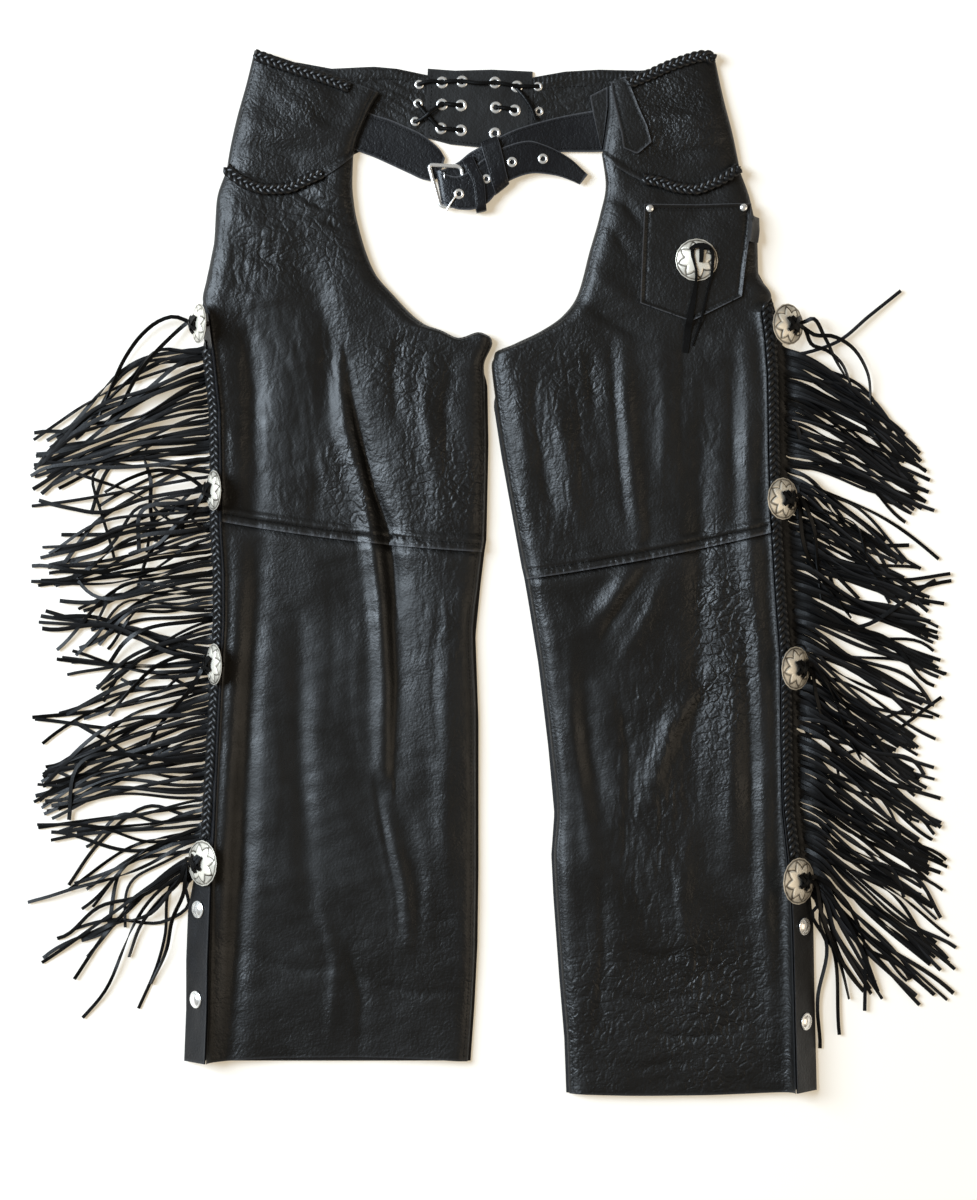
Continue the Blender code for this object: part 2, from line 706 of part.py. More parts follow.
class Surface:
    """The outer face of panels already made, read from above."""

    def __init__(self, *names):
        self.trees = []
        for name in names:
            mesh = bpy.data.objects[name].data
            points = [v.co.copy() for v in mesh.vertices]
            self.trees.append(BVHTree.FromPolygons(points, [tuple(p.vertices) for p in mesh.polygons]))

    def height(self, point):
        best = 0.0
        for tree in self.trees:
            hit = tree.ray_cast(Vector((point.x, point.y, 1.0)), Vector((0, 0, -1)))
            if hit[0] is not None:
                best = max(best, hit[0].z)
        return best

    def along(self, point, direction, furthest):
        """How far a face is from a point in a direction, up to a limit."""
        best = furthest
        for tree in self.trees:
            hit = tree.ray_cast(point, direction, furthest)
            if hit[0] is not None:
                best = min(best, hit[3])
        return best

    def around(self, point, reach):
        """The highest face near a point, so that what lies there clears it."""
        best = self.height(point)
        for step in range(LOOK_SPOKES):
            angle = 2 * math.pi * step / LOOK_SPOKES
            for share in LOOK_SHARES:
                offset = Vector((math.cos(angle), math.sin(angle), 0)) * reach * share
                best = max(best, self.height(point + offset))
        return best


def make_trim_braids():
    for trim in BRAIDS:
        side = trim.name.rsplit("_", 1)[1]
        below = Surface(f"yoke_front_{side}", f"thigh_front_{side}")
        line = even_places(trim.line, PLAIT)
        points = [plan(*place) for place in line]
        heights = [below.around(p, BRAID_WIDTH / 2) for p in points]
        places = []
        for index, point in enumerate(points):
            near = heights[max(index - 1, 0) : index + 2]
            point.z = max(near) + trim.lift * MM
            ahead = points[min(index + 1, len(points) - 1)] - points[max(index - 1, 0)]
            ahead.z = 0
            across = ahead.normalized().cross(Vector((0, 0, 1)))
            places.append((point, Vector((0, 0, 1)), across))
        braid(trim.name, places)


CONCHO_PROFILE = [(0, 0), (0.97, 0), (1.0, 0.8), (0.55, 3.2), (0, 4.2)]  # radius share, mm
KNOT_RADIUS = 3.0 * MM  # the tied knot behind a side concho, which holds it to the leather
KNOT_LONGEST = 22 * MM
KNOT_SPOKES = 12
KNOT_REACHES = (KNOT_RADIUS / 2, KNOT_RADIUS * 1.1)
CONCHO_SIDES = 16
SNAP_SIDES = 12
RIVET_SIDES = 8
SNAP_PROFILE = [(0, 0), (0.98, 0), (1.0, 0.9), (0.62, 2.4), (0, 2.9)]
# A concho's height is that of its middle; its lower rim lies on the fringe. Sizes are in mm.
Concho = namedtuple("Concho", "name x y height lean diameter")
CONCHOS = [
    Concho("concho_left_1", 201, 325, 24.0, 64, 38),
    Concho("concho_left_2", 215.5, 491, 24.0, 63, 38),
    Concho("concho_left_3", 216, 664, 24.3, 63, 39),
    Concho("concho_left_4", 204, 862, 22.0, 46, 43),
    Concho("concho_right_1", 787, 325, 16.0, 37, 39),
    Concho("concho_right_2", 784, 499, 18.4, 39, 38.5),
    Concho("concho_right_3", 796, 668, 21.4, 50, 40),
    Concho("concho_right_4", 797, 880, 21.2, 43, 44),
]
BEHIND_CONCHOS = ("side_flap", "side_braid", "thigh_front", "shin_front", "fringe")
Snap = namedtuple("Snap", "side y")
SNAPS = [Snap("left", 909), Snap("left", 999), Snap("right", 926), Snap("right", 1021)]


def scaled(profile, diameter):
    return [(radius * diameter / 2, height * MM) for radius, height in profile]


def leaning(side, lean):
    """The direction that a fitting faces: up, leant outward by so many degrees."""
    angle = math.radians(lean)
    return Vector((OUTWARD[side] * math.sin(angle), 0, math.cos(angle)))


def knot_length(below, centre, normal):
    """How long the knot behind a concho is, from its back to just off the leather."""
    across = normal.orthogonal().normalized()
    other = normal.cross(across)
    nearest = below.along(centre, -normal, KNOT_LONGEST)
    for radius in KNOT_REACHES:
        for step in range(KNOT_SPOKES):
            angle = 2 * math.pi * step / KNOT_SPOKES
            start = centre + (math.cos(angle) * across + math.sin(angle) * other) * radius
            nearest = min(nearest, below.along(start, -normal, KNOT_LONGEST))
    return nearest - GAP


def make_fittings():
    for concho in CONCHOS:
        side = concho.name.split("_")[1]
        below = Surface(*(f"{piece}_{side}" for piece in BEHIND_CONCHOS))
        centre = plan(concho.x, concho.y, concho.height * MM)
        normal = leaning(side, concho.lean)
        knot = knot_length(below, centre, normal)
        disc = scaled(CONCHO_PROFILE, concho.diameter * MM)[1:]
        profile = [(0, -knot), (KNOT_RADIUS, -knot), (KNOT_RADIUS, 0)] + disc
        turned(concho.name, profile, centre, normal, CONCHO_SIDES, "nickel")
    for number, snap in enumerate(SNAPS):
        centre = slope_point(snap.side, snap.y, 0, LEATHER / 2 + GAP)
        normal = leaning(snap.side, between(SIDES[snap.side], "y", "lean", snap.y))
        profile = scaled(SNAP_PROFILE, SNAP_DIAMETER)
        turned(f"snap_{snap.side}_{number % 2 + 1}", profile, centre, normal, SNAP_SIDES, "nickel")


POCKET_ROWS = [  # left end, right end, how far the middle hangs below them
    ((644, 205), (751, 204), 1),
    ((643.5, 222), (750, 221), 1),
    ((642, 250), (747.5, 246), 2),
    ((641, 278), (744, 272), 10),
    ((640, 304), (741, 297), 21.5),
]
POCKET_COLUMNS = 6
LAID_REACH = 7 * MM  # a laid piece clears everything this near
POCKET_CLEAR = 0.8 * MM
POCKET_CONCHO = (696, 261)
POCKET_RIVETS = [(650.5, 210.5), (742, 209.5)]
CONCHO_INSIDE = 12 * MM  # the ring inside the rim where the pocket concho's height is read too
LABEL_COLUMNS = 2
LABEL_CLEAR = 0.5 * MM
LABEL_CLOTH = 0.8 * MM
LABEL = [((748, 216), (760, 217)), ((748, 229), (760, 230)), ((746, 242), (758, 243))]


def laid_grid(rows, columns, below, clear, thickness):
    """A grid of plan rows laid over the panels below: its outer and inner faces."""
    upper, lower = [], []
    for first, second, hang in rows:
        tops, lows = [], []
        for column in range(columns + 1):
            step = column / columns
            x = first[0] + (second[0] - first[0]) * step
            y = first[1] + (second[1] - first[1]) * step + hang * (1 - abs(2 * step - 1))
            point = plan(x, y)
            point.z = below.around(point, LAID_REACH) + clear
            lows.append(point)
            tops.append(point + Vector((0, 0, thickness)))
        upper.append(tops)
        lower.append(lows)
    return upper, lower


def make_pocket():
    leg = Surface("thigh_front_right")
    upper, lower = laid_grid(POCKET_ROWS, POCKET_COLUMNS, leg, POCKET_CLEAR, LEATHER)
    wall("pocket", upper, lower, "leather")
    pocket = Surface("pocket")
    up = Vector((0, 0, 1))
    for number, place in enumerate(POCKET_RIVETS, 1):
        centre = plan(*place)
        centre.z = pocket.around(centre, RIVET_DIAMETER / 2) + GAP
        profile = scaled(SNAP_PROFILE, RIVET_DIAMETER)
        turned(f"pocket_rivet_{number}", profile, centre, up, RIVET_SIDES, "nickel")
    centre = plan(*POCKET_CONCHO)
    centre.z = max(pocket.around(centre, reach) for reach in (CONCHO_DIAMETER / 2, CONCHO_INSIDE)) + GAP
    turned("pocket_concho", scaled(CONCHO_PROFILE, CONCHO_DIAMETER), centre, up, CONCHO_SIDES, "nickel")
    both = Surface("thigh_front_right", "pocket")
    rows = [(a, b, 0) for a, b in LABEL]
    upper, lower = laid_grid(rows, LABEL_COLUMNS, both, LABEL_CLEAR, LABEL_CLOTH)
    wall("label_tab", upper, lower, "label")


# The thong through the pocket concho: both tails hang down from the slots.
THONG_LINE = [
    (685, 353), (687, 325), (691, 295), (696, 270), (700, 256),
    (706, 256), (707, 270), (702, 300), (696, 341),
]
THONG_WIDTH = 4.0 * MM
THONG_LEATHER = 1.2 * MM
THONG_REACH = 6 * MM  # it clears everything this near
THONG_CLEAR = 1.7 * MM


def strap_rows(line, width, heights):
    rows = []
    for index, place in enumerate(line):
        point = plan(*place, heights[index])
        before = plan(*line[max(index - 1, 0)])
        after = plan(*line[min(index + 1, len(line) - 1)])
        across = (after - before).normalized().cross(Vector((0, 0, 1))) * (width / 2)
        rows.append((point - across, point + across))
    return rows


def make_thong():
    below = Surface("thigh_front_right", "pocket", "pocket_concho")
    heights = [below.around(plan(*place), THONG_REACH) + THONG_CLEAR for place in THONG_LINE]
    band("pocket_thong", strap_rows(THONG_LINE, THONG_WIDTH, heights), THONG_LEATHER, "leather")


# Belt straps: upper edge, lower edge, and the height of the leather's middle in mm.
Strap = namedtuple("Strap", "upper lower height")
BELT_LEFT = [
    Strap((352, 103), (340, 141), 2.9),
    Strap((381, 113), (356, 148), 2.9),
    Strap((405, 124), (392, 162), 2.9),
    Strap((424, 134), (418, 174), 2.9),
    Strap((437, 147), (429, 179), 2.9),
]
BELT_RIGHT = [
    Strap((614, 106), (614, 150), 2.9),
    Strap((590, 110), (590, 151), 2.9),
    Strap((563, 115), (563, 151), 2.9),
    Strap((536, 122), (532, 156), 4.2),
    Strap((512, 131), (505, 168), 5.2),
    Strap((488, 147), (484, 186), 5.2),
    Strap((464, 162), (466, 203), 3.2),
    Strap((449, 166), (456, 205), 3.1),
    Strap((445.5, 166), (452.5, 205), 4.2),
    Strap((444, 166), (451, 205), 6.0),
    Strap((445.5, 166), (452.5, 205), 7.8),
    Strap((449, 166), (456, 205), 8.9),
    Strap((464, 166), (467, 209), 9.4),
    Strap((482, 160), (486, 204), 9.6),
    Strap((499, 149), (507, 182), 9.2),
    Strap((529, 140.5), (536, 173), 8.0),
    Strap((546, 145), (555, 175), 7.0),
    Strap((569, 157), (571, 180), 6.2),
    Strap((588, 174), (580, 184), 5.6),
]


def edge_points(table):
    return [(plan(*row.upper, row.height * MM), plan(*row.lower, row.height * MM)) for row in table]


# Keepers: a loop of leather round both layers. Each row is one edge, the other, and a height.
KEEPERS = {
    "keeper_wide": [
        Strap((479, 142), (499, 132), 9.0),
        Strap((480, 150), (501, 141), 11.8),
        Strap((485, 172), (506, 166), 12.2),
        Strap((489, 203), (512, 187), 11.8),
        Strap((490, 210), (513, 193), 8.5),
        Strap((490, 210), (513, 193), 3.0),
        Strap((486, 197), (509, 181), 1.1),
        Strap((480, 154), (502, 152), 2.8),
        Strap((479, 142), (499, 132), 3.8),
    ],
    "keeper_narrow": [
        Strap((468, 152), (476.5, 146), 9.0),
        Strap((469, 160), (477.5, 154), 11.8),
        Strap((474, 185), (483, 184), 12.0),
        Strap((475.5, 208), (484.5, 206), 11.8),
        Strap((476, 214), (485, 211.5), 8.5),
        Strap((476, 214), (485, 211.5), 3.0),
        Strap((475, 208), (484, 206), 1.0),
        Strap((469, 160), (477.5, 154), 0.9),
        Strap((468, 152), (476.5, 146), 2.8),
    ],
}
KEEPER_LEATHER = 1.2 * MM
BUCKLE_LINE = [
    ((429, 164.5), 5.8),
    ((443, 162), 5.8),
    ((456, 162.5), 5.8),
    ((461, 166), 5.9),
    ((464, 185), 6.2),
    ((466, 201), 6.2),
    ((460, 207), 5.9),
    ((442.5, 207), 5.8),
    ((438.5, 203), 5.8),
    ((431, 184), 5.8),
]
BUCKLE_BAR = 1.5 * MM
BUCKLE_SIDES = 6
PRONG_RADIUS = 0.8 * MM
PRONG_SIDES = 5
PRONG_LINE = [((456.5, 195), 11.5), ((451, 203), 11.2), ((446, 211.5), 9.4)]


def make_belt():
    band("belt_strap_left", edge_points(BELT_LEFT), BELT_LEATHER, "leather")
    band("belt_strap_right", edge_points(BELT_RIGHT), BELT_LEATHER, "leather")
    for name, table in KEEPERS.items():
        band(name, edge_points(table), KEEPER_LEATHER, "leather", closed=True)
    frame = [plan(*place, height * MM) for place, height in BUCKLE_LINE]
    tube("buckle_frame", frame, BUCKLE_BAR, BUCKLE_SIDES, "nickel", closed=True)
    prong = [plan(*place, height * MM) for place, height in PRONG_LINE]
    tube("buckle_prong", prong, PRONG_RADIUS, PRONG_SIDES, "nickel")


# The folded flap and the long pointed loop at the right yoke's inner end.
FLAP_ROWS = [
    ((590, 95), (607.6, 86)),
    ((593, 112), (607.6, 106)),
    ((598, 134), (604.6, 130)),
    ((601, 148), (602, 147)),
]
YOKE_FLAP_HEIGHT = 4.6 * MM
YOKE_FLAP_LEATHER = 1.4 * MM
LOOP_ROWS = [
    ((610.5, 81), (626, 77), 0),
    ((612, 92), (631, 89), 0),
    ((616, 112), (638, 107), 0),
    ((621, 134), (647, 128), 0),
    ((623, 149), (651, 143), 9),
]
LACES = {  # plan places and how far each lies over the panels, in mm
    "lace_top": [
        (419, 83, 0), (431, 80, 0), (442, 81, 0), (462, 80, 0), (478, 82, 0), (495, 81.5, 0), (538, 85, 0),
    ],
    "lace_left_down": [(417, 102, 0), (429, 116, 0), (441, 127, 0), (461, 129, 0)],
    "lace_left_up": [
        (415, 121, 0), (423, 117, 2), (429, 112.5, 3.2), (435, 108, 2), (442, 103, 0), (461, 104, 0),
    ],
    "lace_right_row": [(496, 106, 0), (515, 109, 0)],
    "lace_right_down": [(517, 87, 0), (526, 98, 0), (536, 119, 0)],
}
LACE_RADIUS = 1.4 * MM
LACE_SIDES = 5
LOOP_COLUMNS = 3
LOOP_CLEAR = 0.8 * MM
LOOP_LEATHER = 1.8 * MM


def make_waist():
    for side, rows in YOKE_BACKS.items():
        flat_panel(f"yoke_back_{side}", rows)
    flat_panel("lacing_panel", LACING_PANEL)
    flat_panel("yoke_flap_right", FLAP_ROWS, YOKE_FLAP_HEIGHT, YOKE_FLAP_LEATHER)
    below = Surface("yoke_front_right", "yoke_flap_right")
    upper, lower = laid_grid(LOOP_ROWS, LOOP_COLUMNS, below, LOOP_CLEAR, LOOP_LEATHER)
    wall("belt_loop_right", upper, lower, "leather")
    for name, line in LACES.items():
        path = [plan(x, y, LEATHER + GAP + LACE_RADIUS + over * MM) for x, y, over in line]
        tube(name, path, LACE_RADIUS, LACE_SIDES, "leather")


def main():
    clear_scene()
    for side in ("left", "right"):
        make_fronts(side)
        make_leg_back(side)
        make_side_flap(side)
        make_fringe(side)
    for side in SIDE_BRAIDS:
        make_side_braid(side)
    make_waist()
    make_trim_braids()
    make_fittings()
    make_pocket()
    make_thong()
    make_belt()


main()
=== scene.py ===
# %% [markdown]
# These are riding chaps: two leather legs with yokes, laid flat on their backs on a white floor.
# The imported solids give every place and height. This script dresses them with finer leather.
# Every size is in metres, and tables give plan places in the same units that the solids used.

# %% Load the frame
import math
from collections import namedtuple

import bmesh
import bpy
import numpy as np
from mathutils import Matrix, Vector
from mathutils.bvhtree import BVHTree


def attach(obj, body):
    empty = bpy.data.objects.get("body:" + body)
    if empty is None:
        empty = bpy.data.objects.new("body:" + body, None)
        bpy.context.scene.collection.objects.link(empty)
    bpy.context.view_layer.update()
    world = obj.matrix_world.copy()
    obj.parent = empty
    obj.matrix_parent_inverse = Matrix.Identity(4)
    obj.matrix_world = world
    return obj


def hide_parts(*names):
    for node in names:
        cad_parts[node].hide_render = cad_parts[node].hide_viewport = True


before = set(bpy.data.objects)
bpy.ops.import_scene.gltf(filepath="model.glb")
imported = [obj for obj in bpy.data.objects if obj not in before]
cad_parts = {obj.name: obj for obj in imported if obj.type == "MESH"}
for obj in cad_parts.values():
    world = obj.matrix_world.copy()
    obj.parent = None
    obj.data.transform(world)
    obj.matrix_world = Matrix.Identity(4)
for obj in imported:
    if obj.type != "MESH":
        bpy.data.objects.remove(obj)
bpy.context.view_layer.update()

# %% [markdown]
# A plan is how a maker thinks of a garment, so places are read from a plan, right and down.
# One named length, the side of the left leg, turns plan units into metres.

# %% Plan sizes
MM = 0.001
OUTSEAM = 962.35 * MM
OUTSEAM_ON_PLAN = 1013.0
UNIT = OUTSEAM / OUTSEAM_ON_PLAN
PLAN_MIDDLE = (494.8, 572.3)
LEATHER = 1.5 * MM
GAP = 0.3 * MM
FLOOR_GAP = LEATHER + GAP
SIDE_SEAM = 0.6 * MM
OUTWARD = {"left": -1, "right": 1}


def plan(x, y, height=0.0):
    """Plan places as points in metres; works on single places and on whole grids."""
    x, y, height = np.broadcast_arrays(np.asarray(x, float), np.asarray(y, float), height)
    return np.stack([(x - PLAN_MIDDLE[0]) * UNIT, (PLAN_MIDDLE[1] - y) * UNIT, height], -1)


def run_along(points):
    """How far each point of a line is from its start."""
    steps = np.linalg.norm(np.diff(points, axis=0), axis=1)
    return np.concatenate([[0], np.cumsum(steps)])


print("one plan unit is", round(UNIT / MM, 3), "mm")

# %% [markdown]
# The view looks straight down, as over a garment spread on the floor, from far enough away
# that the edges don't lean. A long lens does that. The picture's long side sets its reach.

# %% Camera
PICTURE = (977, 1200)
PICTURE_MIDDLE = (488.5, 600.0)
LENS = 85.0
FILM = 36.0
eye = bpy.data.cameras.new("eye")
eye.lens = LENS
eye.sensor_width = FILM
eye.sensor_fit = "AUTO"
eye_stand = bpy.data.objects.new("eye", eye)
bpy.context.scene.collection.objects.link(eye_stand)
eye_place = plan(*PICTURE_MIDDLE, PICTURE[1] * UNIT * LENS / FILM + 10 * MM)
eye_stand.location = eye_place.tolist()
bpy.context.scene.camera = eye_stand
print("camera height", round(eye_stand.location.z, 3))

# %% [markdown]
# The floor is a plain white sweep. One wide cool light from the upper left gives the leather its
# bluish satin. A weak warm bounce from the right and a weak warm sky fill the shadows, so they
# turn cream as on a real white floor.
# The view transform is set to Standard, because the default one would turn a white floor grey.

# %% Floor and light
FLOOR_SIZE = 14.0


def new_material(name):
    made = bpy.data.materials.new(name)
    made.use_nodes = True
    return made, made.node_tree, made.node_tree.nodes["Principled BSDF"]


def plain_material(name, colour, roughness):
    made, _, shader = new_material(name)
    shader.inputs["Base Color"].default_value = (*colour, 1)
    shader.inputs["Roughness"].default_value = roughness
    return made


floor_mesh = bpy.data.meshes.new("floor")
half = FLOOR_SIZE / 2
corners = [(-half, -half, 0), (half, -half, 0), (half, half, 0), (-half, half, 0)]
floor_mesh.from_pydata(corners, [], [(0, 1, 2, 3)])
floor = bpy.data.objects.new("floor", floor_mesh)
bpy.context.scene.collection.objects.link(floor)
floor_finish = plain_material("white floor", (0.52, 0.52, 0.515), 0.7)
floor_shader = floor_finish.node_tree.nodes["Principled BSDF"]
floor_shader.inputs["Emission Color"].default_value = (1.0, 0.84, 0.60, 1)
floor_shader.inputs["Emission Strength"].default_value = 0.42
floor_mesh.materials.append(floor_finish)
floor.location.z = -0.0005

sky = bpy.data.worlds.new("sky")
bpy.context.scene.world = sky
sky.use_nodes = True
sky.node_tree.nodes["Background"].inputs["Color"].default_value = (1.0, 0.85, 0.66, 1)
sky.node_tree.nodes["Background"].inputs["Strength"].default_value = 0.23
bpy.context.scene.view_settings.view_transform = "Standard"


def softbox(name, place, aim, size, power, colour):
    lamp = bpy.data.lights.new(name, "AREA")
    lamp.shape = "RECTANGLE"
    lamp.size, lamp.size_y = size
    lamp.energy = power
    lamp.color = colour
    stand = bpy.data.objects.new(name, lamp)
    bpy.context.scene.collection.objects.link(stand)
    stand.location = place
    stand.rotation_euler = (Vector(aim) - Vector(place)).to_track_quat("-Z", "Y").to_euler()
    return stand


softbox("window light", (-3.2, 1.0, 2.9), (0, 0, 0), (2.2, 3.0), 480, (0.76, 0.88, 1.0))
softbox("wall bounce", (3.2, -0.6, 2.2), (0, 0, 0), (2.4, 3.0), 42, (1.0, 0.86, 0.68))

# %% [markdown]
# Leather is never even: it has pebbles the size of a pinhead, a net of finer lines, and cloudy
# dull and shiny areas. These three are noise textures in one group, so every piece of leather
# shares them. The group gives a height for a bump and masks for colour and shine.

# %% Grain group


def node_group(name, inputs, outputs):
    tree = bpy.data.node_groups.new(name, "ShaderNodeTree")
    for socket, kind, value in inputs:
        made = tree.interface.new_socket(socket, in_out="INPUT", socket_type=kind)
        made.default_value = value
    for socket, kind in outputs:
        tree.interface.new_socket(socket, in_out="OUTPUT", socket_type=kind)
    return tree, tree.nodes.new("NodeGroupInput"), tree.nodes.new("NodeGroupOutput")


def node(tree, kind, settings=(), **inputs):
    """Add a node; an input is a value or another node's output socket."""
    made = tree.nodes.new(kind)
    for key, value in dict(settings).items():
        setattr(made, key, value)
    for key, value in inputs.items():
        spot = made.inputs[int(key[1:])] if key[0] == "_" else made.inputs[key.replace("_", " ")]
        if isinstance(value, bpy.types.NodeSocket):
            tree.links.new(value, spot)
        else:
            spot.default_value = value
    return made


def attribute(tree, name):
    """A number that a mesh carries on its points."""
    return node(tree, "ShaderNodeAttribute", {"attribute_name": name}).outputs["Fac"]


def mix(tree, share, first, second):
    """A colour between two, by a share from 0 to 1."""
    return node(tree, "ShaderNodeMix", {"data_type": "RGBA"}, _0=share, _6=first, _7=second).outputs[2]


def math_node(tree, operation, first, second=0.0, third=0.0):
    made = node(tree, "ShaderNodeMath", {"operation": operation}, _0=first, _1=second, _2=third)
    return made.outputs[0]


FLOAT, COLOUR = "NodeSocketFloat", "NodeSocketColor"


def grain_group():
    tree, into, out = node_group(
        "Leather grain",
        [("Pebbles", FLOAT, 420.0), ("Lines", FLOAT, 105.0), ("Net", FLOAT, 0.2), ("Long", FLOAT, 0.0),
         ("Smooth", FLOAT, 0.0)],
        [("Height", FLOAT), ("Pits", FLOAT), ("Cloud", FLOAT)],
    )
    place = node(tree, "ShaderNodeTexCoord").outputs["Object"]
    wander = node(tree, "ShaderNodeTexNoise", Vector=place, Scale=45.0, Detail=3.0).outputs["Color"]
    shifted = node(tree, "ShaderNodeVectorMath", {"operation": "MULTIPLY_ADD"}, _0=wander, _1=(0.016,) * 3, _2=place)
    shifted = shifted.outputs[0]
    pebbles = node(
        tree, "ShaderNodeTexVoronoi", {"feature": "SMOOTH_F1"}, Vector=place, Scale=into.outputs["Pebbles"], Smoothness=0.5
    )
    dome = math_node(tree, "SUBTRACT", 1.0, pebbles.outputs["Distance"])

    def valleys(vector, scale, spread):
        cells = node(tree, "ShaderNodeTexVoronoi", {"feature": "DISTANCE_TO_EDGE"}, Vector=vector, Scale=scale)
        soft = node(
            tree, "ShaderNodeMapRange", {"interpolation_type": "SMOOTHSTEP"},
            Value=cells.outputs["Distance"], From_Min=0.0, From_Max=spread,
        )
        return soft.outputs[0]

    net = valleys(shifted, into.outputs["Lines"], 0.22)
    stretched = node(tree, "ShaderNodeVectorMath", {"operation": "MULTIPLY"}, _0=shifted, _1=(1.0, 0.28, 1.0)).outputs[0]
    long_lines = valleys(stretched, 78.0, 0.30)
    cloud = node(tree, "ShaderNodeTexNoise", Vector=place, Scale=17.0, Detail=4.0, Roughness=0.6).outputs["Fac"]
    rough = node(tree, "ShaderNodeTexNoise", Vector=shifted, Scale=210.0, Detail=3.0, Roughness=0.6).outputs["Fac"]
    net_height = math_node(tree, "MULTIPLY", net, into.outputs["Net"])
    long_height = math_node(tree, "MULTIPLY", long_lines, into.outputs["Long"])
    height = math_node(tree, "MULTIPLY_ADD", dome, 0.22, math_node(tree, "MULTIPLY", rough, 0.55))
    height = math_node(tree, "ADD", height, math_node(tree, "MULTIPLY_ADD", net_height, 0.55, long_height))
    missing = math_node(tree, "MULTIPLY", math_node(tree, "SUBTRACT", net, 1.0), into.outputs["Net"])
    lacking = math_node(tree, "MULTIPLY", math_node(tree, "SUBTRACT", long_lines, 1.0), into.outputs["Long"])
    pits = math_node(tree, "ADD", 1.0, math_node(tree, "MULTIPLY", math_node(tree, "ADD", missing, lacking), 0.6))
    kept = math_node(tree, "SUBTRACT", 1.0, into.outputs["Smooth"])
    tree.links.new(math_node(tree, "MULTIPLY", height, kept), out.inputs["Height"])
    tree.links.new(pits, out.inputs["Pits"])
    tree.links.new(cloud, out.inputs["Cloud"])
    return tree


GRAIN = grain_group()
print("group", GRAIN.name, "with", len(GRAIN.nodes), "nodes")

# %% [markdown]
# The leather is painted greyer and made smoother on its ridges and painted blacker in its valleys:
# partly real wear, partly a painted highlight on the ridges and painted shade in the valleys.
# The shells carry that as a number on each point, called ridge, and this group turns it into colour and shine.

# %% Wear and painted shade group


def wear_and_shade_group():
    tree, into, out = node_group(
        "Leather wear and painted shade",
        [
            ("Deep", COLOUR, (0.006, 0.006, 0.006, 1)),
            ("Worn", COLOUR, (0.03, 0.032, 0.038, 1)),
            ("Shine", FLOAT, 0.42),
            ("Ridge", FLOAT, 0.0),
            ("Pits", FLOAT, 0.5),
            ("Cloud", FLOAT, 0.5),
            ("Edge", FLOAT, 0.0),
            ("Pale", COLOUR, (0.04, 0.04, 0.042, 1)),
        ],
        [("Colour", COLOUR), ("Roughness", FLOAT)],
    )
    # Ridge makes the colour paler on ridges and darker in valleys: partly wear, partly painted highlight and painted
    # shade.
    lifted = math_node(tree, "MULTIPLY_ADD", into.outputs["Ridge"], 0.5, 0.38)
    mottled = math_node(tree, "MULTIPLY_ADD", into.outputs["Cloud"], 0.7, math_node(tree, "SUBTRACT", lifted, 0.35))
    share = math_node(tree, "MULTIPLY", mottled, math_node(tree, "MULTIPLY_ADD", into.outputs["Pits"], 0.5, 0.5))
    clamped = node(tree, "ShaderNodeClamp", Value=share).outputs[0]
    mixed = mix(tree, clamped, into.outputs["Deep"], into.outputs["Worn"])
    pale_edges = mix(tree, into.outputs["Edge"], mixed, into.outputs["Pale"])
    dull = math_node(tree, "SUBTRACT", 0.5, into.outputs["Cloud"])
    shine = math_node(tree, "MULTIPLY_ADD", dull, 0.5, into.outputs["Shine"])
    shine = math_node(tree, "MULTIPLY_ADD", clamped, -0.08, shine)
    tree.links.new(pale_edges, out.inputs["Colour"])
    tree.links.new(shine, out.inputs["Roughness"])
    return tree


WEAR_AND_SHADE = wear_and_shade_group()
print("group", WEAR_AND_SHADE.name, "with", len(WEAR_AND_SHADE.nodes), "nodes")

# %% [markdown]
# One recipe makes every black leather here: soft panel hide, smoother strap leather and thin cut
# lace differ only in colours, grain size, bump depth and shine.

# %% Leather finishes
# deep is the colour in valleys and worn the colour on ridges; the step between them is partly wear and partly
# painted highlight and painted shade.
Finish = namedtuple("Finish", "deep worn shine pebbles lines net bump specular", defaults=(0.28,))
LEATHERS = {
    "panel leather": Finish((0.0022, 0.0020, 0.0016), (0.0072, 0.0070, 0.0067), 0.45, 430, 105, 0.12, 1.0),
    "smooth leather": Finish((0.0045, 0.0043, 0.0040), (0.0100, 0.0098, 0.0096), 0.50, 520, 120, 0.08, 0.50),
    "flap leather": Finish((0.0020, 0.0021, 0.0025), (0.0062, 0.0066, 0.0080), 0.44, 520, 120, 0.10, 0.60),
    "strap leather": Finish((0.0012, 0.0013, 0.0016), (0.0056, 0.0062, 0.0082), 0.42, 560, 150, 0.20, 0.70),
    "braid leather": Finish((0.0018, 0.0017, 0.0016), (0.0120, 0.0120, 0.0122), 0.38, 620, 200, 0.05, 0.35, 0.26),
    "lace leather": Finish((0.0011, 0.0011, 0.0011), (0.0036, 0.0036, 0.0036), 0.42, 620, 200, 0.05, 0.35, 0.13),
    "black thread": Finish((0.0020, 0.0020, 0.0021), (0.0070, 0.0070, 0.0074), 0.50, 1700, 900, 0.05, 0.50, 0.12),
}
PALE_EDGE = (0.055, 0.055, 0.058, 1)  # where an edge is painted pale: on panels and straps partly a worn cut edge and partly a painted highlight, on fringe strands a painted highlight
BUMP_DISTANCE = 0.9 * MM


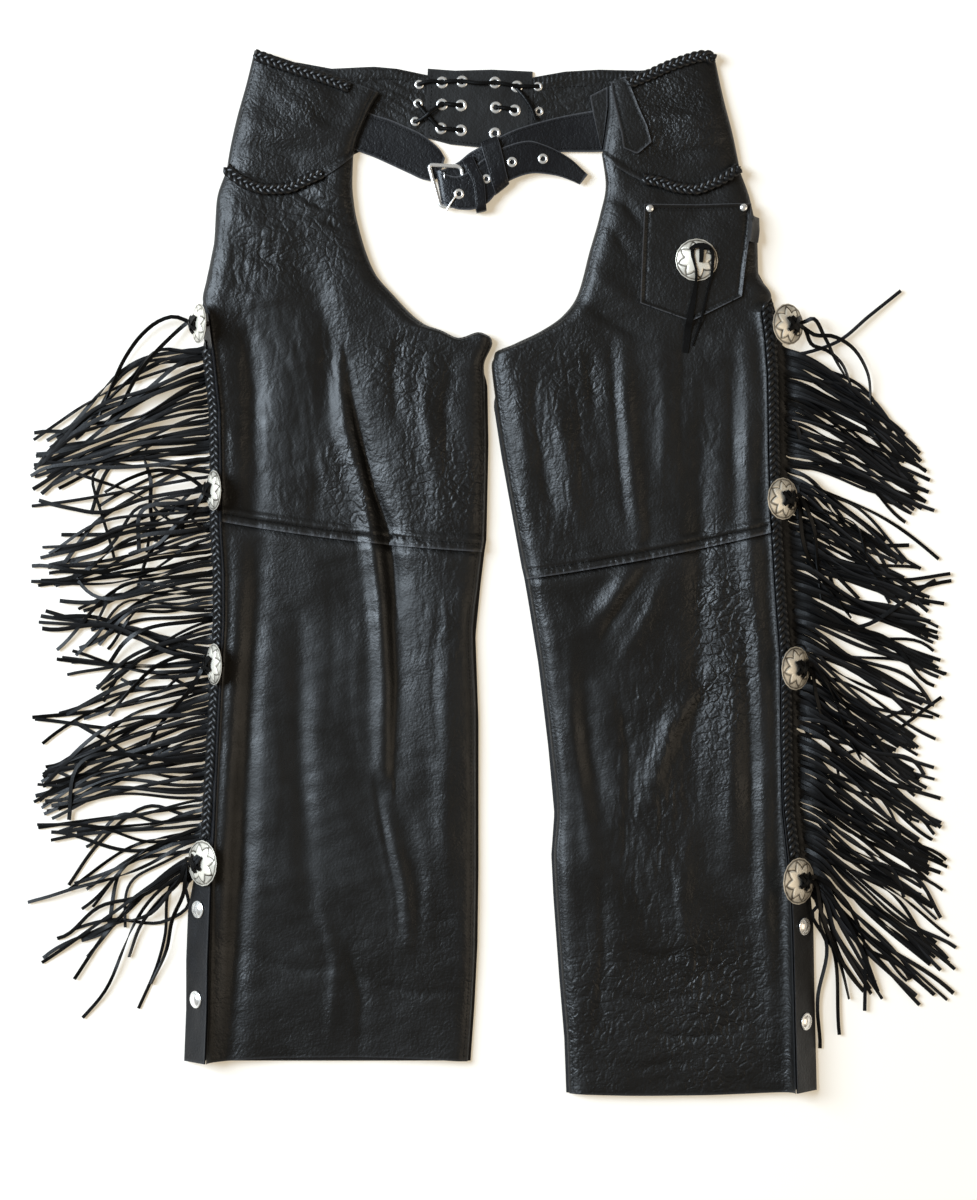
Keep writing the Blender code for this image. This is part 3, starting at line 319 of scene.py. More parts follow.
def leather(name):
    finish = LEATHERS[name]
    made, tree, shader = new_material(name)
    shader.inputs["Specular IOR Level"].default_value = finish.specular
    grain = node(
        tree, "ShaderNodeGroup", {"node_tree": GRAIN},
        Pebbles=float(finish.pebbles), Lines=float(finish.lines),
        Net=math_node(tree, "ADD", attribute(tree, "creased"), finish.net),
        Long=attribute(tree, "lengthwise"), Smooth=attribute(tree, "smooth"),
    ).outputs
    # The ridge number paints ridges paler and valleys darker: partly wear, partly painted highlight and painted
    # shade.
    wear_and_shade = node(
        tree, "ShaderNodeGroup", {"node_tree": WEAR_AND_SHADE},
        Deep=(*finish.deep, 1), Worn=(*finish.worn, 1), Shine=finish.shine, Pale=PALE_EDGE,
        Pits=grain["Pits"], Cloud=grain["Cloud"],
        Ridge=attribute(tree, "ridge"), Edge=attribute(tree, "edge"),
    )
    bump = node(tree, "ShaderNodeBump", Strength=finish.bump, Distance=BUMP_DISTANCE, Height=grain["Height"])
    tree.links.new(wear_and_shade.outputs["Colour"], shader.inputs["Base Color"])
    tree.links.new(wear_and_shade.outputs["Roughness"], shader.inputs["Roughness"])
    tree.links.new(bump.outputs["Normal"], shader.inputs["Normal"])
    return made


FINISHES = {name: leather(name) for name in LEATHERS}
print("leathers", list(FINISHES))

# %% [markdown]
# The conchos are stamped nickel silver with a worn satin face and darker hollows; the snaps,
# eyelets and buckle are brighter nickel. One group gives both their scratches and tarnish.

# %% Metal finishes


def metal_group():
    tree, into, out = node_group(
        "Worn metal",
        [
            ("Bright", COLOUR, (0.8, 0.76, 0.68, 1)),
            ("Tarnish", COLOUR, (0.16, 0.13, 0.10, 1)),
            ("Shine", FLOAT, 0.25),
            ("Ridge", FLOAT, 0.0),
        ],
        [("Colour", COLOUR), ("Roughness", FLOAT), ("Height", FLOAT)],
    )
    place = node(tree, "ShaderNodeTexCoord").outputs["Object"]
    blotch = node(tree, "ShaderNodeTexNoise", Vector=place, Scale=110.0, Detail=3.0).outputs["Fac"]
    hollow = math_node(tree, "MULTIPLY_ADD", into.outputs["Ridge"], -0.8, math_node(tree, "SUBTRACT", blotch, 0.42))
    share = node(tree, "ShaderNodeClamp", Value=hollow).outputs[0]
    tree.links.new(mix(tree, share, into.outputs["Bright"], into.outputs["Tarnish"]), out.inputs["Colour"])
    tree.links.new(math_node(tree, "MULTIPLY_ADD", blotch, 0.25, into.outputs["Shine"]), out.inputs["Roughness"])
    tree.links.new(blotch, out.inputs["Height"])
    return tree


METAL = metal_group()
Metal = namedtuple("Metal", "bright tarnish shine metallic")
METALS = {
    "concho silver": Metal((0.74, 0.69, 0.59), (0.035, 0.026, 0.016), 0.26, 0.5),
    "bright nickel": Metal((0.86, 0.85, 0.82), (0.30, 0.28, 0.25), 0.10, 0.8),
}


def metal(name):
    finish = METALS[name]
    made, tree, shader = new_material(name)
    shader.inputs["Metallic"].default_value = finish.metallic
    worn = node(
        tree, "ShaderNodeGroup", {"node_tree": METAL},
        Bright=(*finish.bright, 1), Tarnish=(*finish.tarnish, 1), Shine=finish.shine,
        Ridge=attribute(tree, "ridge"),
    )
    bump = node(tree, "ShaderNodeBump", Strength=0.2, Distance=0.25 * MM, Height=worn.outputs["Height"])
    tree.links.new(worn.outputs["Colour"], shader.inputs["Base Color"])
    tree.links.new(worn.outputs["Roughness"], shader.inputs["Roughness"])
    tree.links.new(bump.outputs["Normal"], shader.inputs["Normal"])
    return made


FINISHES.update({name: metal(name) for name in METALS})
# A black matte finish that paints the eyelet holes as shade.
FINISHES["eyelet hole shade"] = plain_material("eyelet hole shade", (0.002, 0.002, 0.002), 0.9)


def woven_tape(name, threads):
    """Narrow tape: threads over and under each other, a little uneven."""
    made, tree, shader = new_material(name)
    shader.inputs["Sheen Weight"].default_value = 0.3
    place = node(tree, "ShaderNodeTexCoord").outputs["Object"]
    bands = [
        node(tree, "ShaderNodeTexWave", {"bands_direction": way}, Vector=place, Scale=threads, Distortion=0.4)
        for way in ("X", "Y")
    ]
    warp, weft = (band.outputs["Fac"] for band in bands)
    over = math_node(tree, "ABSOLUTE", math_node(tree, "SUBTRACT", warp, weft))
    mixed = mix(tree, over, (0.0016, 0.0016, 0.0016, 1), (0.0070, 0.0070, 0.0075, 1))
    bump = node(tree, "ShaderNodeBump", Strength=0.6, Distance=0.3 * MM, Height=over)
    tree.links.new(mixed, shader.inputs["Base Color"])
    tree.links.new(math_node(tree, "MULTIPLY_ADD", over, 0.2, 0.6), shader.inputs["Roughness"])
    tree.links.new(bump.outputs["Normal"], shader.inputs["Normal"])
    return made


FINISHES["label tape"] = woven_tape("label tape", 300.0)
print("metals", list(METALS))

# %% [markdown]
# Every piece is a mesh built from grids of points, as a pattern piece is a net of measured lines.
# A shell has an outer and an inner face, a rim, and a ridge number found by comparing each
# point's height with a smoothed copy of the grid.

# %% Shell helpers


def set_marks(mesh, name, values):
    """Keep a number on every point of a mesh, for its material to read."""
    flat_values = np.asarray(values, np.float32).ravel()
    mesh.attributes.new(name, "FLOAT", "POINT").data.foreach_set("value", flat_values)


def add_piece(name, points, faces, finish, ridge=None, slot="leather", crisp=55):
    mesh = bpy.data.meshes.new(name)
    mesh.from_pydata(np.asarray(points).tolist(), [], [list(f) for f in faces])
    work = bmesh.new()
    work.from_mesh(mesh)
    bmesh.ops.recalc_face_normals(work, faces=work.faces)
    work.to_mesh(mesh)
    work.free()
    mesh.shade_smooth()
    mesh.set_sharp_from_angle(angle=math.radians(crisp))
    if ridge is not None:
        set_marks(mesh, "ridge", ridge)
    mesh.materials.append(FINISHES[finish])
    made = bpy.data.objects.new(name, mesh)
    bpy.context.scene.collection.objects.link(made)
    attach(made, "root")
    return made


def softened(grid, passes):
    for _ in range(passes):
        padded = np.pad(grid, 1, mode="edge")
        grid = (padded[:-2, 1:-1] + padded[2:, 1:-1] + padded[1:-1, :-2] + padded[1:-1, 2:]) / 4
    return grid


def shell(name, upper, lower, finish, slot="leather", closed=False, ridge_scale=0.7 * MM, marks=(), edge=0.25):
    """A closed leather wall between two grids of points, its outer edges painted paler, partly as a worn cut edge
    and partly as a painted highlight.
    """
    rows, columns = upper.shape[:2]
    index = np.arange(rows * columns).reshape(rows, columns)
    if closed:
        index = np.vstack([index, index[:1]])
    under = rows * columns
    top = np.stack([index[:-1, :-1], index[:-1, 1:], index[1:, 1:], index[1:, :-1]], -1).reshape(-1, 4)
    parts = [top, top[:, ::-1] + under]
    for line in (index[:, 0], index[:, -1]):
        parts.append(np.stack([line[:-1], line[1:], line[1:] + under, line[:-1] + under], -1))
    if not closed:
        for line in (index[0], index[-1]):
            parts.append(np.stack([line[:-1], line[1:], line[1:] + under, line[:-1] + under], -1))
    height = upper[..., 2]
    # The ridge number paints raised points paler and hollows darker: partly wear, partly painted highlight and
    # painted shade.
    ridge = np.clip((height - softened(height, 12)) / ridge_scale, -1, 1)
    both = np.concatenate([ridge.ravel(), ridge.ravel() * 0])
    points = np.concatenate([upper.reshape(-1, 3), lower.reshape(-1, 3)])
    made = add_piece(name, points, np.concatenate(parts), finish, both, slot)
    # The rim points get the edge number, which paints them paler: partly a worn cut edge, partly a painted
    # highlight.
    pale_edges = np.zeros(height.shape)
    pale_edges[:, [0, -1]] = edge
    if not closed:
        pale_edges[[0, -1]] = edge
    for mark, values in {"edge": pale_edges, **dict(marks)}.items():
        set_marks(made.data, mark, [values, values])
    return made


def grid_area(grid):
    """The leather's own area: the sum of a grid's quarters."""
    first = np.cross(grid[1:, :-1] - grid[:-1, :-1], grid[:-1, 1:] - grid[:-1, :-1])
    second = np.cross(grid[1:, :-1] - grid[1:, 1:], grid[:-1, 1:] - grid[1:, 1:])
    return float((np.linalg.norm(first, axis=-1) + np.linalg.norm(second, axis=-1)).sum() / 2)


UP = np.array([0, 0, 1.0])
SEAMS = []  # lines of points on the leather that a row of stitches follows


def cut_as(grid, flat):
    """A sheet's area from its net, kept between part of its cut's outer sizes and their product; nothing is done
    with it.
    """
    area = min(grid_area(grid), flat[0] * flat[1])
    area = max(area, 0.3 * flat[0] * flat[1])


def smooth_read(keys, values, at):
    """A smooth curve through a table's values that never overshoots them."""
    keys, values = np.asarray(keys, float), np.asarray(values, float)
    steps = np.diff(keys)
    slopes = np.diff(values) / steps
    tangents = np.zeros(len(keys))
    same = slopes[:-1] * slopes[1:] > 0
    with np.errstate(divide="ignore", invalid="ignore"):
        mean = 2 * slopes[:-1] * slopes[1:] / (slopes[:-1] + slopes[1:])
    tangents[1:-1] = np.where(same, mean, 0.0)
    tangents[0], tangents[-1] = slopes[0], slopes[-1]
    at = np.clip(at, keys[0], keys[-1])
    spot = np.clip(np.searchsorted(keys, at, side="right") - 1, 0, len(steps) - 1)
    t = (at - keys[spot]) / steps[spot]
    left, right = values[spot], values[spot + 1]
    return (
        left * (1 + 2 * t) * (1 - t) ** 2 + right * t**2 * (3 - 2 * t)
        + steps[spot] * t * (1 - t) * (tangents[spot] * (1 - t) - tangents[spot + 1] * t)
    )


print("shell helpers ready")

# %% [markdown]
# The outer side of each leg stands on edge, because the seam there is stiff with braid and fringe.
# A table gives that line down the leg: where it runs, how high, and how far it leans outward.

# %% The legs' sides
Side = namedtuple("Side", "y x height lean out in_")
SIDES = {
    "left": [
        Side(314, 205, 10, 60, 8, 8),
        Side(332, 207, 10, 62, 8, 9),
        Side(356, 210, 10, 62, 8, 9),
        Side(413, 216, 10, 62, 8, 9),
        Side(470, 217, 10, 62, 8, 9),
        Side(526, 217, 10, 62, 8, 9),
        Side(574, 220, 10, 62, 8, 9),
        Side(622, 220, 10, 62, 8, 9),
        Side(698, 216, 10, 62, 8, 9),
        Side(770, 212, 10, 60, 8, 10),
        Side(832, 208, 10, 55, 8.5, 11),
        Side(880, 202, 12, 48, 12, 14),
        Side(910, 199, 13, 45, 15, 16),
        Side(960, 197, 13, 45, 15, 16),
        Side(1010, 197, 13, 45, 15, 15),
        Side(1062, 195, 13, 45, 15, 15),
    ],
    "right": [
        Side(314, 766, 14, 42, 16, 6),
        Side(336, 769, 14, 41, 16.5, 6),
        Side(375, 772, 14, 41, 16.5, 6),
        Side(451, 773, 14, 41, 16.5, 6),
        Side(518, 775, 14, 41, 16.5, 6),
        Side(598, 780, 13, 42, 15, 6),
        Side(660, 785, 13, 46, 14, 7),
        Side(740, 786, 13, 43, 14.5, 7),
        Side(809, 788, 13, 43, 14.5, 8),
        Side(850, 793, 13, 44, 14.3, 9),
        Side(890, 800, 13, 45, 14, 13),
        Side(926, 803, 13, 47, 15, 16),
        Side(975, 804, 13, 48, 15, 16),
        Side(1021, 805, 13, 48, 15, 16),
        Side(1091, 807, 13, 47, 14, 16),
    ],
}


def side_read(side, column, y):
    table = SIDES[side]
    return np.interp(y, [row.y for row in table], [getattr(row, column) for row in table])


def side_normal(side, y):
    lean = np.radians(side_read(side, "lean", y))
    return np.stack([OUTWARD[side] * np.sin(lean), lean * 0, np.cos(lean)], -1)


def slope_point(side, y, down, off=0.0):
    """Points on a leg's side: down its slope from the braid line, off its surface."""
    y = np.asarray(y, float)
    lean = np.radians(side_read(side, "lean", y))
    slope = np.stack([OUTWARD[side] * np.cos(lean), lean * 0, -np.sin(lean)], -1)
    base = plan(side_read(side, "x", y), y, side_read(side, "height", y) * MM)
    return base + slope * np.asarray(down)[..., None] + side_normal(side, y) * np.asarray(off)[..., None]


print("side of the right leg at the top", slope_point("right", 314.0, 0.0).round(3))

# %% [markdown]
# The front panels are described by rows across them, from the outer side to the inner edge.
# Reading smooth curves through those rows gives as fine a net as the creases need.

# %% Front panel rows
Row = namedtuple("Row", "outer_x outer_y inner_x inner_y bow outer_z crown inner_z")
YOKES = {
    "left": [
        Row(254, 49, 379, 92, -1, 4.0, 10, 7.0),
        Row(246, 82, 371, 106, 3, 3.6, 13, 7.2),
        Row(236, 118, 363, 124, 9, 3.6, 14, 7.2),
        Row(229, 150, 356, 142, 18, 3.6, 13, 7.2),
        Row(225.6, 171.5, 353, 156, 26, 3.6, 12, 5.6),
    ],
    "right": [
        Row(714, 51, 609, 86, -1, 4.0, 10, 7.0),
        Row(724, 97, 609, 106, 3, 3.6, 13, 7.2),
        Row(733, 132, 606, 130, 10, 3.6, 14, 7.2),
        Row(738, 156, 603.5, 146, 20, 3.6, 13, 7.2),
        Row(741, 171.5, 602, 156, 26, 3.6, 12, 5.6),
    ],
}
LEGS = {
    "left": [
        Row(226, 168.5, 353, 152.5, 26, 3.6, 12, 6.0),
        Row(216, 200, 352, 182, 16, 3.6, 14, 4.2),
        Row(213.5, 240, 354, 205, 8, 3.6, 15, 3.6),
        Row(206, 278, 361, 236, 3, 3.6, 15, 3.6),
        Row(202, 299, 374, 271, 0, 4.4, 15, 3.6),
        Row(None, 314, 391, 292, 0, None, 15, 3.6),
        Row(None, 332, 430, 326, 0, None, 15, 3.6),
        Row(None, 352, 474, 334, 5, None, 15, 3.6),
        Row(None, 368, 494, 338, 0, None, 15, 3.8),
        Row(None, 410, 485, 385, 0, None, 15, 3.6),
        Row(None, 455, 486, 445, 0, None, 15, 3.6),
        Row(None, 509, 484, 539, 4, None, 15, 3.6),
        Row(None, 522, 482, 552, 4, None, 15, 3.6),
        Row(None, 582, 478, 585, 3, None, 14, 3.6),
        Row(None, 643, 473, 636, 0, None, 14, 3.6),
        Row(None, 725, 476, 722, 0, None, 14, 3.6),
        Row(None, 790, 476, 800, 0, None, 14, 3.6),
        Row(None, 862, 476, 870, 0, None, 14, 3.6),
        Row(None, 935, 475, 945, 0, None, 13, 3.6),
        Row(None, 1005, 472, 1006, 0, None, 12, 3.6),
        Row(None, 1062, 468, 1062, -5, None, 11, 3.6),
    ],
    "right": [
        Row(740, 168.5, 602, 152.5, 26, 3.6, 12, 6.0),
        Row(751, 200, 606, 184, 16, 3.6, 14, 4.2),
        Row(758, 240, 600, 215, 8, 3.6, 15, 3.6),
        Row(759, 272, 590, 250, 3, 3.6, 15, 3.6),
        Row(772, 296, 577, 296, 0, 4.4, 15, 3.6),
        Row(None, 314, 562, 316, 0, None, 15, 3.6),
        Row(None, 330, 540, 331, 0, None, 15, 3.6),
        Row(None, 345, 515, 343, 0, None, 15, 3.6),
        Row(None, 360, 491, 356, 0, None, 15, 3.8),
        Row(None, 405, 496, 404, 0, None, 15, 3.6),
        Row(None, 455, 504, 456, 0, None, 15, 3.6),
        Row(None, 520, 524, 566, 3, None, 15, 3.6),
        Row(None, 533, 527, 579, 3, None, 15, 3.6),
        Row(None, 580, 531, 602, 3, None, 14, 3.6),
        Row(None, 660, 541, 664, 0, None, 14, 3.6),
        Row(None, 740, 551, 748, 0, None, 14, 3.6),
        Row(None, 809, 557, 814, 0, None, 14, 3.6),
        Row(None, 850, 554, 856, 0, None, 14, 3.6),
        Row(None, 890, 556, 897, 0, None, 14, 3.6),
        Row(None, 970, 562, 980, 0, None, 13, 3.6),
        Row(None, 1035, 567, 1040, 0, None, 12, 3.6),
        Row(None, 1091, 569, 1094, 3, None, 11, 3.6),
    ],
}
LAP_ROW = 11  # the thigh laps over the shin from this row to the next
print("rows", {side: len(rows) for side, rows in LEGS.items()})

# %% [markdown]
# Folds are what make leather read as leather. Each is one line on the plan with a depth, below
# zero for a trough, and a softer or steeper flank on either side. The first rows are the large
# folds of the solids, and the others are the creases, uneven in length, depth and spacing.

# %% Folds and creases
Fold = namedtuple("Fold", "side depth width flank line")
FOLDS = [
    Fold("left", 6, 11, 1.0, [(238, 545), (239, 582), (237, 643), (231, 725), (227, 790), (223, 862), (217, 1055)]),
    Fold("left", -4, 11, 1.0, [(260, 545), (254, 643), (250, 704), (247, 786), (242, 882), (236, 964), (230, 1050)]),
    Fold("left", 5, 9, 1.0, [
        (342, 369), (340, 399), (347, 436), (359, 473), (370, 523), (380, 602), (384, 684), (382, 775),
    ]),
    Fold("left", -6, 5, 3.4, [
        (345, 366), (350, 395), (359, 431), (370, 471), (379, 511), (388, 549), (393, 600), (397, 684), (394, 775),
    ]),
    Fold("left", 4, 9, 1.0, [(384, 806), (394, 851), (404, 892), (408, 940)]),
    Fold("left", -3, 14, 1.0, [(300, 250), (330, 330), (330, 430)]),
    Fold("left", 3, 12, 1.0, [(440, 620), (445, 760), (446, 900)]),
    Fold("left", -3, 12, 1.0, [(300, 620), (300, 760), (310, 900)]),
    Fold("right", 5, 12, 1.0, [
        (748, 340), (748, 452), (750, 553), (757, 645), (764, 771), (765, 907), (775, 1031), (779, 1080),
    ]),
    Fold("right", 4, 10, 1.0, [(621, 343), (625, 408), (630, 473), (638, 540)]),
    Fold("right", 4, 12, 1.0, [(731, 645), (733, 740), (731, 855)]),
    Fold("right", -4, 13, 1.0, [(700, 400), (700, 520), (700, 640), (690, 800)]),
    Fold("right", 4, 10, 1.0, [(635, 565), (612, 600), (592, 624)]),
    Fold("right", -4, 13, 1.0, [(584, 687), (588, 750), (601, 814)]),
    Fold("right", 4, 11, 1.0, [(700, 682), (668, 736), (650, 800)]),
    Fold("right", 3, 11, 1.0, [(560, 400), (566, 450), (575, 520)]),
]
CREASES = [
    # left yoke and hip
    Fold("left", -1.6, 5, 1.6, [(236, 154), (262, 149), (300, 157)]),
    Fold("left", 1.5, 8, 1.2, [(246, 120), (275, 135), (318, 138)]),
    Fold("left", -1.4, 6, 1.5, [(300, 96), (322, 118), (348, 128)]),
    Fold("left", 1.3, 9, 1.0, [(262, 82), (290, 100), (320, 108)]),
    Fold("left", -2.4, 4, 2.0, [(300, 197), (322, 208), (348, 214)]),
    Fold("left", -1.8, 4, 1.8, [(306, 218), (330, 222), (350, 236)]),
    Fold("left", -1.3, 3, 1.6, [(338, 216), (346, 224), (360, 229)]),
    Fold("left", -1.2, 3, 1.6, [(340, 238), (350, 246), (364, 252)]),
    Fold("left", -1.1, 3, 1.6, [(344, 256), (356, 262), (370, 264)]),
    Fold("left", 1.6, 7, 1.3, [(236, 214), (262, 232), (296, 240)]),
    Fold("left", -1.6, 6, 1.6, [(228, 238), (258, 256), (300, 266)]),
    Fold("left", 1.4, 8, 1.0, [(226, 290), (262, 300), (310, 296)]),
    # left thigh
    Fold("left", 1.5, 9, 1.3, [(226, 322), (232, 380), (234, 450), (236, 520)]),
    Fold("left", -2.4, 9, 1.0, [(246, 322), (256, 380), (258, 450), (258, 520)]),
    Fold("left", -3.2, 2.6, 2.2, [
        (346, 362), (350, 385), (358.6, 426), (369.7, 482), (387.6, 527), (393, 560), (396, 612),
    ]),
    Fold("left", 2.2, 20, 1.0, [(420, 400), (446, 470), (450, 540)]),
    Fold("left", -1.4, 4, 1.8, [(400, 340), (392, 372), (396, 420)]),
    Fold("left", 1.4, 6, 1.4, [(432, 350), (424, 400), (430, 460), (440, 520)]),
    Fold("left", -1.5, 5, 1.6, [(452, 360), (444, 410), (450, 470)]),
    Fold("left", -1.5, 6, 1.6, [(246, 340), (250, 400), (248, 470), (252, 520)]),
    Fold("left", 0.4, 9, 1.0, [(280, 330), (286, 400), (282, 500)]),
    Fold("left", -1.0, 5, 1.5, [(310, 440), (318, 480), (312, 526)]),
    Fold("left", 1.8, 6, 1.0, [(476, 336), (484, 340), (493, 343)]),
    # left shin
    Fold("left", 2.0, 22, 1.0, [(440, 560), (452, 660), (450, 760)]),
    Fold("left", -2.0, 4, 2.0, [(376, 780), (380, 808), (388, 848), (398, 894), (400, 930)]),
    Fold("left", 0.6, 6, 1.4, [(352, 560), (360, 620), (356, 700), (366, 770)]),
    Fold("left", -0.5, 5, 1.6, [(330, 580), (334, 650), (328, 730)]),
    Fold("left", 1.3, 7, 1.2, [(420, 820), (430, 880), (426, 950)]),
    Fold("left", -1.4, 5, 1.5, [(440, 600), (434, 680), (440, 760)]),
    Fold("left", -0.6, 5, 1.6, [(280, 700), (286, 780), (280, 860)]),
    Fold("left", 1.4, 6, 1.5, [(320, 900), (336, 960), (330, 1040)]),
    Fold("left", -1.2, 5, 1.6, [(350, 950), (362, 1000), (358, 1050)]),
    Fold("left", -0.9, 4, 1.5, [(262, 960), (300, 972), (340, 966)]),
    Fold("left", -0.9, 4, 1.5, [(380, 985), (420, 994), (460, 990)]),
    # right yoke and hip
    Fold("right", -1.8, 5, 1.6, [(650, 150), (680, 156), (722, 146)]),
    Fold("right", 1.6, 8, 1.2, [(650, 118), (684, 122), (720, 112)]),
    Fold("right", 1.2, 8, 1.2, [(660, 84), (686, 86), (708, 80)]),
    Fold("right", -1.5, 4, 1.8, [(608, 196), (626, 206), (640, 226)]),
    Fold("right", -1.4, 4, 1.8, [(604, 222), (618, 240), (630, 262)]),
    Fold("right", 1.6, 7, 1.4, [(590, 268), (612, 290), (640, 316)]),
    Fold("right", -1.5, 5, 1.6, [(580, 300), (604, 318), (640, 338)]),
    # right thigh
    Fold("right", -2.2, 5, 2.2, [(612, 343), (616, 408), (621, 473), (628, 530)]),
    Fold("right", -1.8, 5, 1.8, [(588, 352), (590, 380), (593, 413)]),
    Fold("right", 1.4, 7, 1.2, [(660, 350), (664, 420), (660, 500)]),
    Fold("right", -1.2, 5, 1.6, [(684, 340), (680, 420), (684, 500)]),
    Fold("right", -1.4, 5, 1.6, [(534, 370), (536, 420), (544, 470), (556, 530)]),
    Fold("right", 1.4, 6, 1.2, [(516, 372), (520, 420), (530, 480)]),
    Fold("right", -1.6, 6, 1.5, [(734, 340), (733, 430), (735, 520)]),
    Fold("right", -1.1, 5, 1.4, [(644, 500), (650, 530), (646, 552)]),
    # right shin
    Fold("right", -2.0, 4, 2.0, [(644, 572), (622, 602), (604, 634)]),
    Fold("right", 1.6, 6, 1.4, [(664, 570), (650, 610), (620, 660)]),
    Fold("right", -1.8, 5, 2.0, [(708, 690), (680, 730), (664, 780)]),
    Fold("right", 2.0, 7, 1.5, [(570, 640), (572, 720), (584, 800), (590, 860)]),
    Fold("right", -1.5, 5, 1.6, [(620, 700), (630, 770), (624, 850)]),
    Fold("right", 1.4, 7, 1.3, [(690, 830), (680, 900), (690, 960)]),
    Fold("right", -1.4, 5, 1.6, [(600, 880), (604, 950), (596, 1030)]),
    Fold("right", -1.1, 4, 1.6, [(620, 948), (660, 958), (712, 950)]),
    Fold("right", -1.2, 4, 1.6, [(600, 990), (650, 1002), (706, 992)]),
    Fold("right", -1.1, 4, 1.6, [(640, 1030), (690, 1038), (740, 1028)]),
    Fold("right", -1.0, 4, 1.6, [(590, 1060), (640, 1068), (700, 1060)]),
    Fold("right", -1.6, 6, 1.5, [(744, 600), (750, 700), (752, 800), (754, 900)]),
]
# Where the hide is creased into a net or into lengthwise lines, and where it is smooth, or below
# zero more pebbled.
Patch = namedtuple("Patch", "side kind x y reach_x reach_y strength")
PATCHES = [
    Patch("left", "lengthwise", 300, 400, 75, 120, 0.45),
    Patch("left", "lengthwise", 250, 250, 40, 90, 0.40),
    Patch("left", "lengthwise", 430, 470, 50, 90, 0.35),
    Patch("left", "lengthwise", 440, 610, 40, 80, 0.35),
    Patch("left", "creased", 405, 370, 50, 40, 0.60),
    Patch("left", "creased", 445, 480, 50, 50, 0.65),
    Patch("left", "creased", 350, 495, 28, 50, 0.50),
    Patch("left", "creased", 300, 235, 70, 60, 0.45),
    Patch("left", "creased", 290, 110, 70, 50, 0.12),
    Patch("left", "creased", 380, 940, 90, 60, 0.25),
    Patch("left", "smooth", 320, 800, 110, 230, 0.60),
    Patch("left", "smooth", 290, 400, 55, 110, 0.60),
    Patch("left", "smooth", 262, 112, 28, 60, -0.6),
    Patch("left", "smooth", 306, 100, 22, 30, -0.5),
    Patch("right", "smooth", 668, 110, 50, 50, -1.2),
    Patch("right", "smooth", 724, 640, 30, 120, -0.5),
    Patch("right", "smooth", 700, 1000, 70, 80, -0.4),
    Patch("left", "smooth", 262, 470, 24, 170, 0.45),
    Patch("left", "smooth", 350, 590, 60, 60, 0.45),
    Patch("right", "smooth", 590, 760, 60, 170, 0.50),
    Patch("right", "smooth", 690, 420, 60, 110, 0.35),
    Patch("right", "lengthwise", 560, 450, 40, 110, 0.45),
    Patch("right", "lengthwise", 650, 790, 50, 150, 0.60),
    Patch("right", "lengthwise", 690, 420, 60, 100, 0.30),
    Patch("right", "creased", 722, 650, 36, 110, 0.70),
    Patch("right", "creased", 710, 1010, 70, 90, 0.60),
    Patch("right", "creased", 600, 1010, 45, 90, 0.45),
    Patch("right", "creased", 640, 120, 70, 60, 0.12),
    Patch("right", "creased", 560, 380, 60, 60, 0.35),
]
KINDS = ("creased", "lengthwise", "smooth")

# Where an edge is pulled off the rows' straight run: how far it goes across and down.
Pull = namedtuple("Pull", "side x y reach across down")
PULLS = [
    Pull("left", 457, 333, 12, 0, 5.8),
    Pull("left", 479, 335, 9, 0, -3.5),
    Pull("left", 495, 338, 4, -2.0, 2.0),
    Pull("left", 488, 362, 13, -4.0, 0),
    Pull("right", 491, 356, 5, 3.0, 0.5),
]


def pulled(side, x, y):
    across, down = np.zeros(x.shape), np.zeros(x.shape)
    for pull in PULLS:
        if pull.side == side:
            near = np.exp(-((x - pull.x) ** 2 + (y - pull.y) ** 2) / pull.reach**2)
            across, down = across + pull.across * near, down + pull.down * near
    return x + across, y + down


def patch_strength(side, kind, x, y):
    total = np.zeros(x.shape)
    for patch in PATCHES:
        if (patch.side, patch.kind) == (side, kind):
            far = ((x - patch.x) / patch.reach_x) ** 2 + ((y - patch.y) / patch.reach_y) ** 2
            value = patch.strength * np.exp(-(far**2))
            total = np.where(abs(value) > abs(total), value, total)
    return total


FADE = (0.12, 0.76)  # a fold starts and ends with part of its full height


def from_line(x, y, line):
    """How far places are from a line, how far along it they are, and on which side."""
    lengths = [math.dist(a, b) for a, b in zip(line, line[1:])]
    best = np.full(x.shape, np.inf)
    along, turn, run = np.zeros(x.shape), np.ones(x.shape), 0.0
    for (a, b), length in zip(zip(line, line[1:]), lengths):
        ux, uy = (b[0] - a[0]) / length, (b[1] - a[1]) / length
        t = np.clip((x - a[0]) * ux + (y - a[1]) * uy, 0, length)
        far = np.hypot(x - a[0] - t * ux, y - a[1] - t * uy)
        side = np.sign((x - a[0]) * uy - (y - a[1]) * ux)
        nearer = far < best
        best = np.where(nearer, far, best)
        along = np.where(nearer, (run + t) / sum(lengths), along)
        turn = np.where(nearer, side, turn)
        run += length
    return best, along, turn


def fold_height(side, x, y, table):
    total = np.zeros(x.shape)
    for fold in table:
        if fold.side != side:
            continue
        far, along, turn = from_line(x, y, fold.line)
        width = np.where(turn > 0, fold.width * fold.flank, fold.width)
        fade = np.sin(np.pi * np.clip(FADE[0] + FADE[1] * along, 0, 1))
        total += fold.depth * MM * fade * np.exp(-((far / width) ** 2))
    return total


def ripple(x, y, size, seed, waves=14):
    """Gentle uneven swells of about one size, from -1 to 1."""
    chance = np.random.default_rng(seed)
    total = np.zeros(x.shape)
    for _ in range(waves):
        heading = chance.uniform(0, 2 * math.pi)
        pace = 2 * math.pi / (size * chance.uniform(0.7, 1.5))
        total += np.sin((x * math.cos(heading) + y * math.sin(heading)) * pace + chance.uniform(0, 6.3))
    return total / math.sqrt(waves)


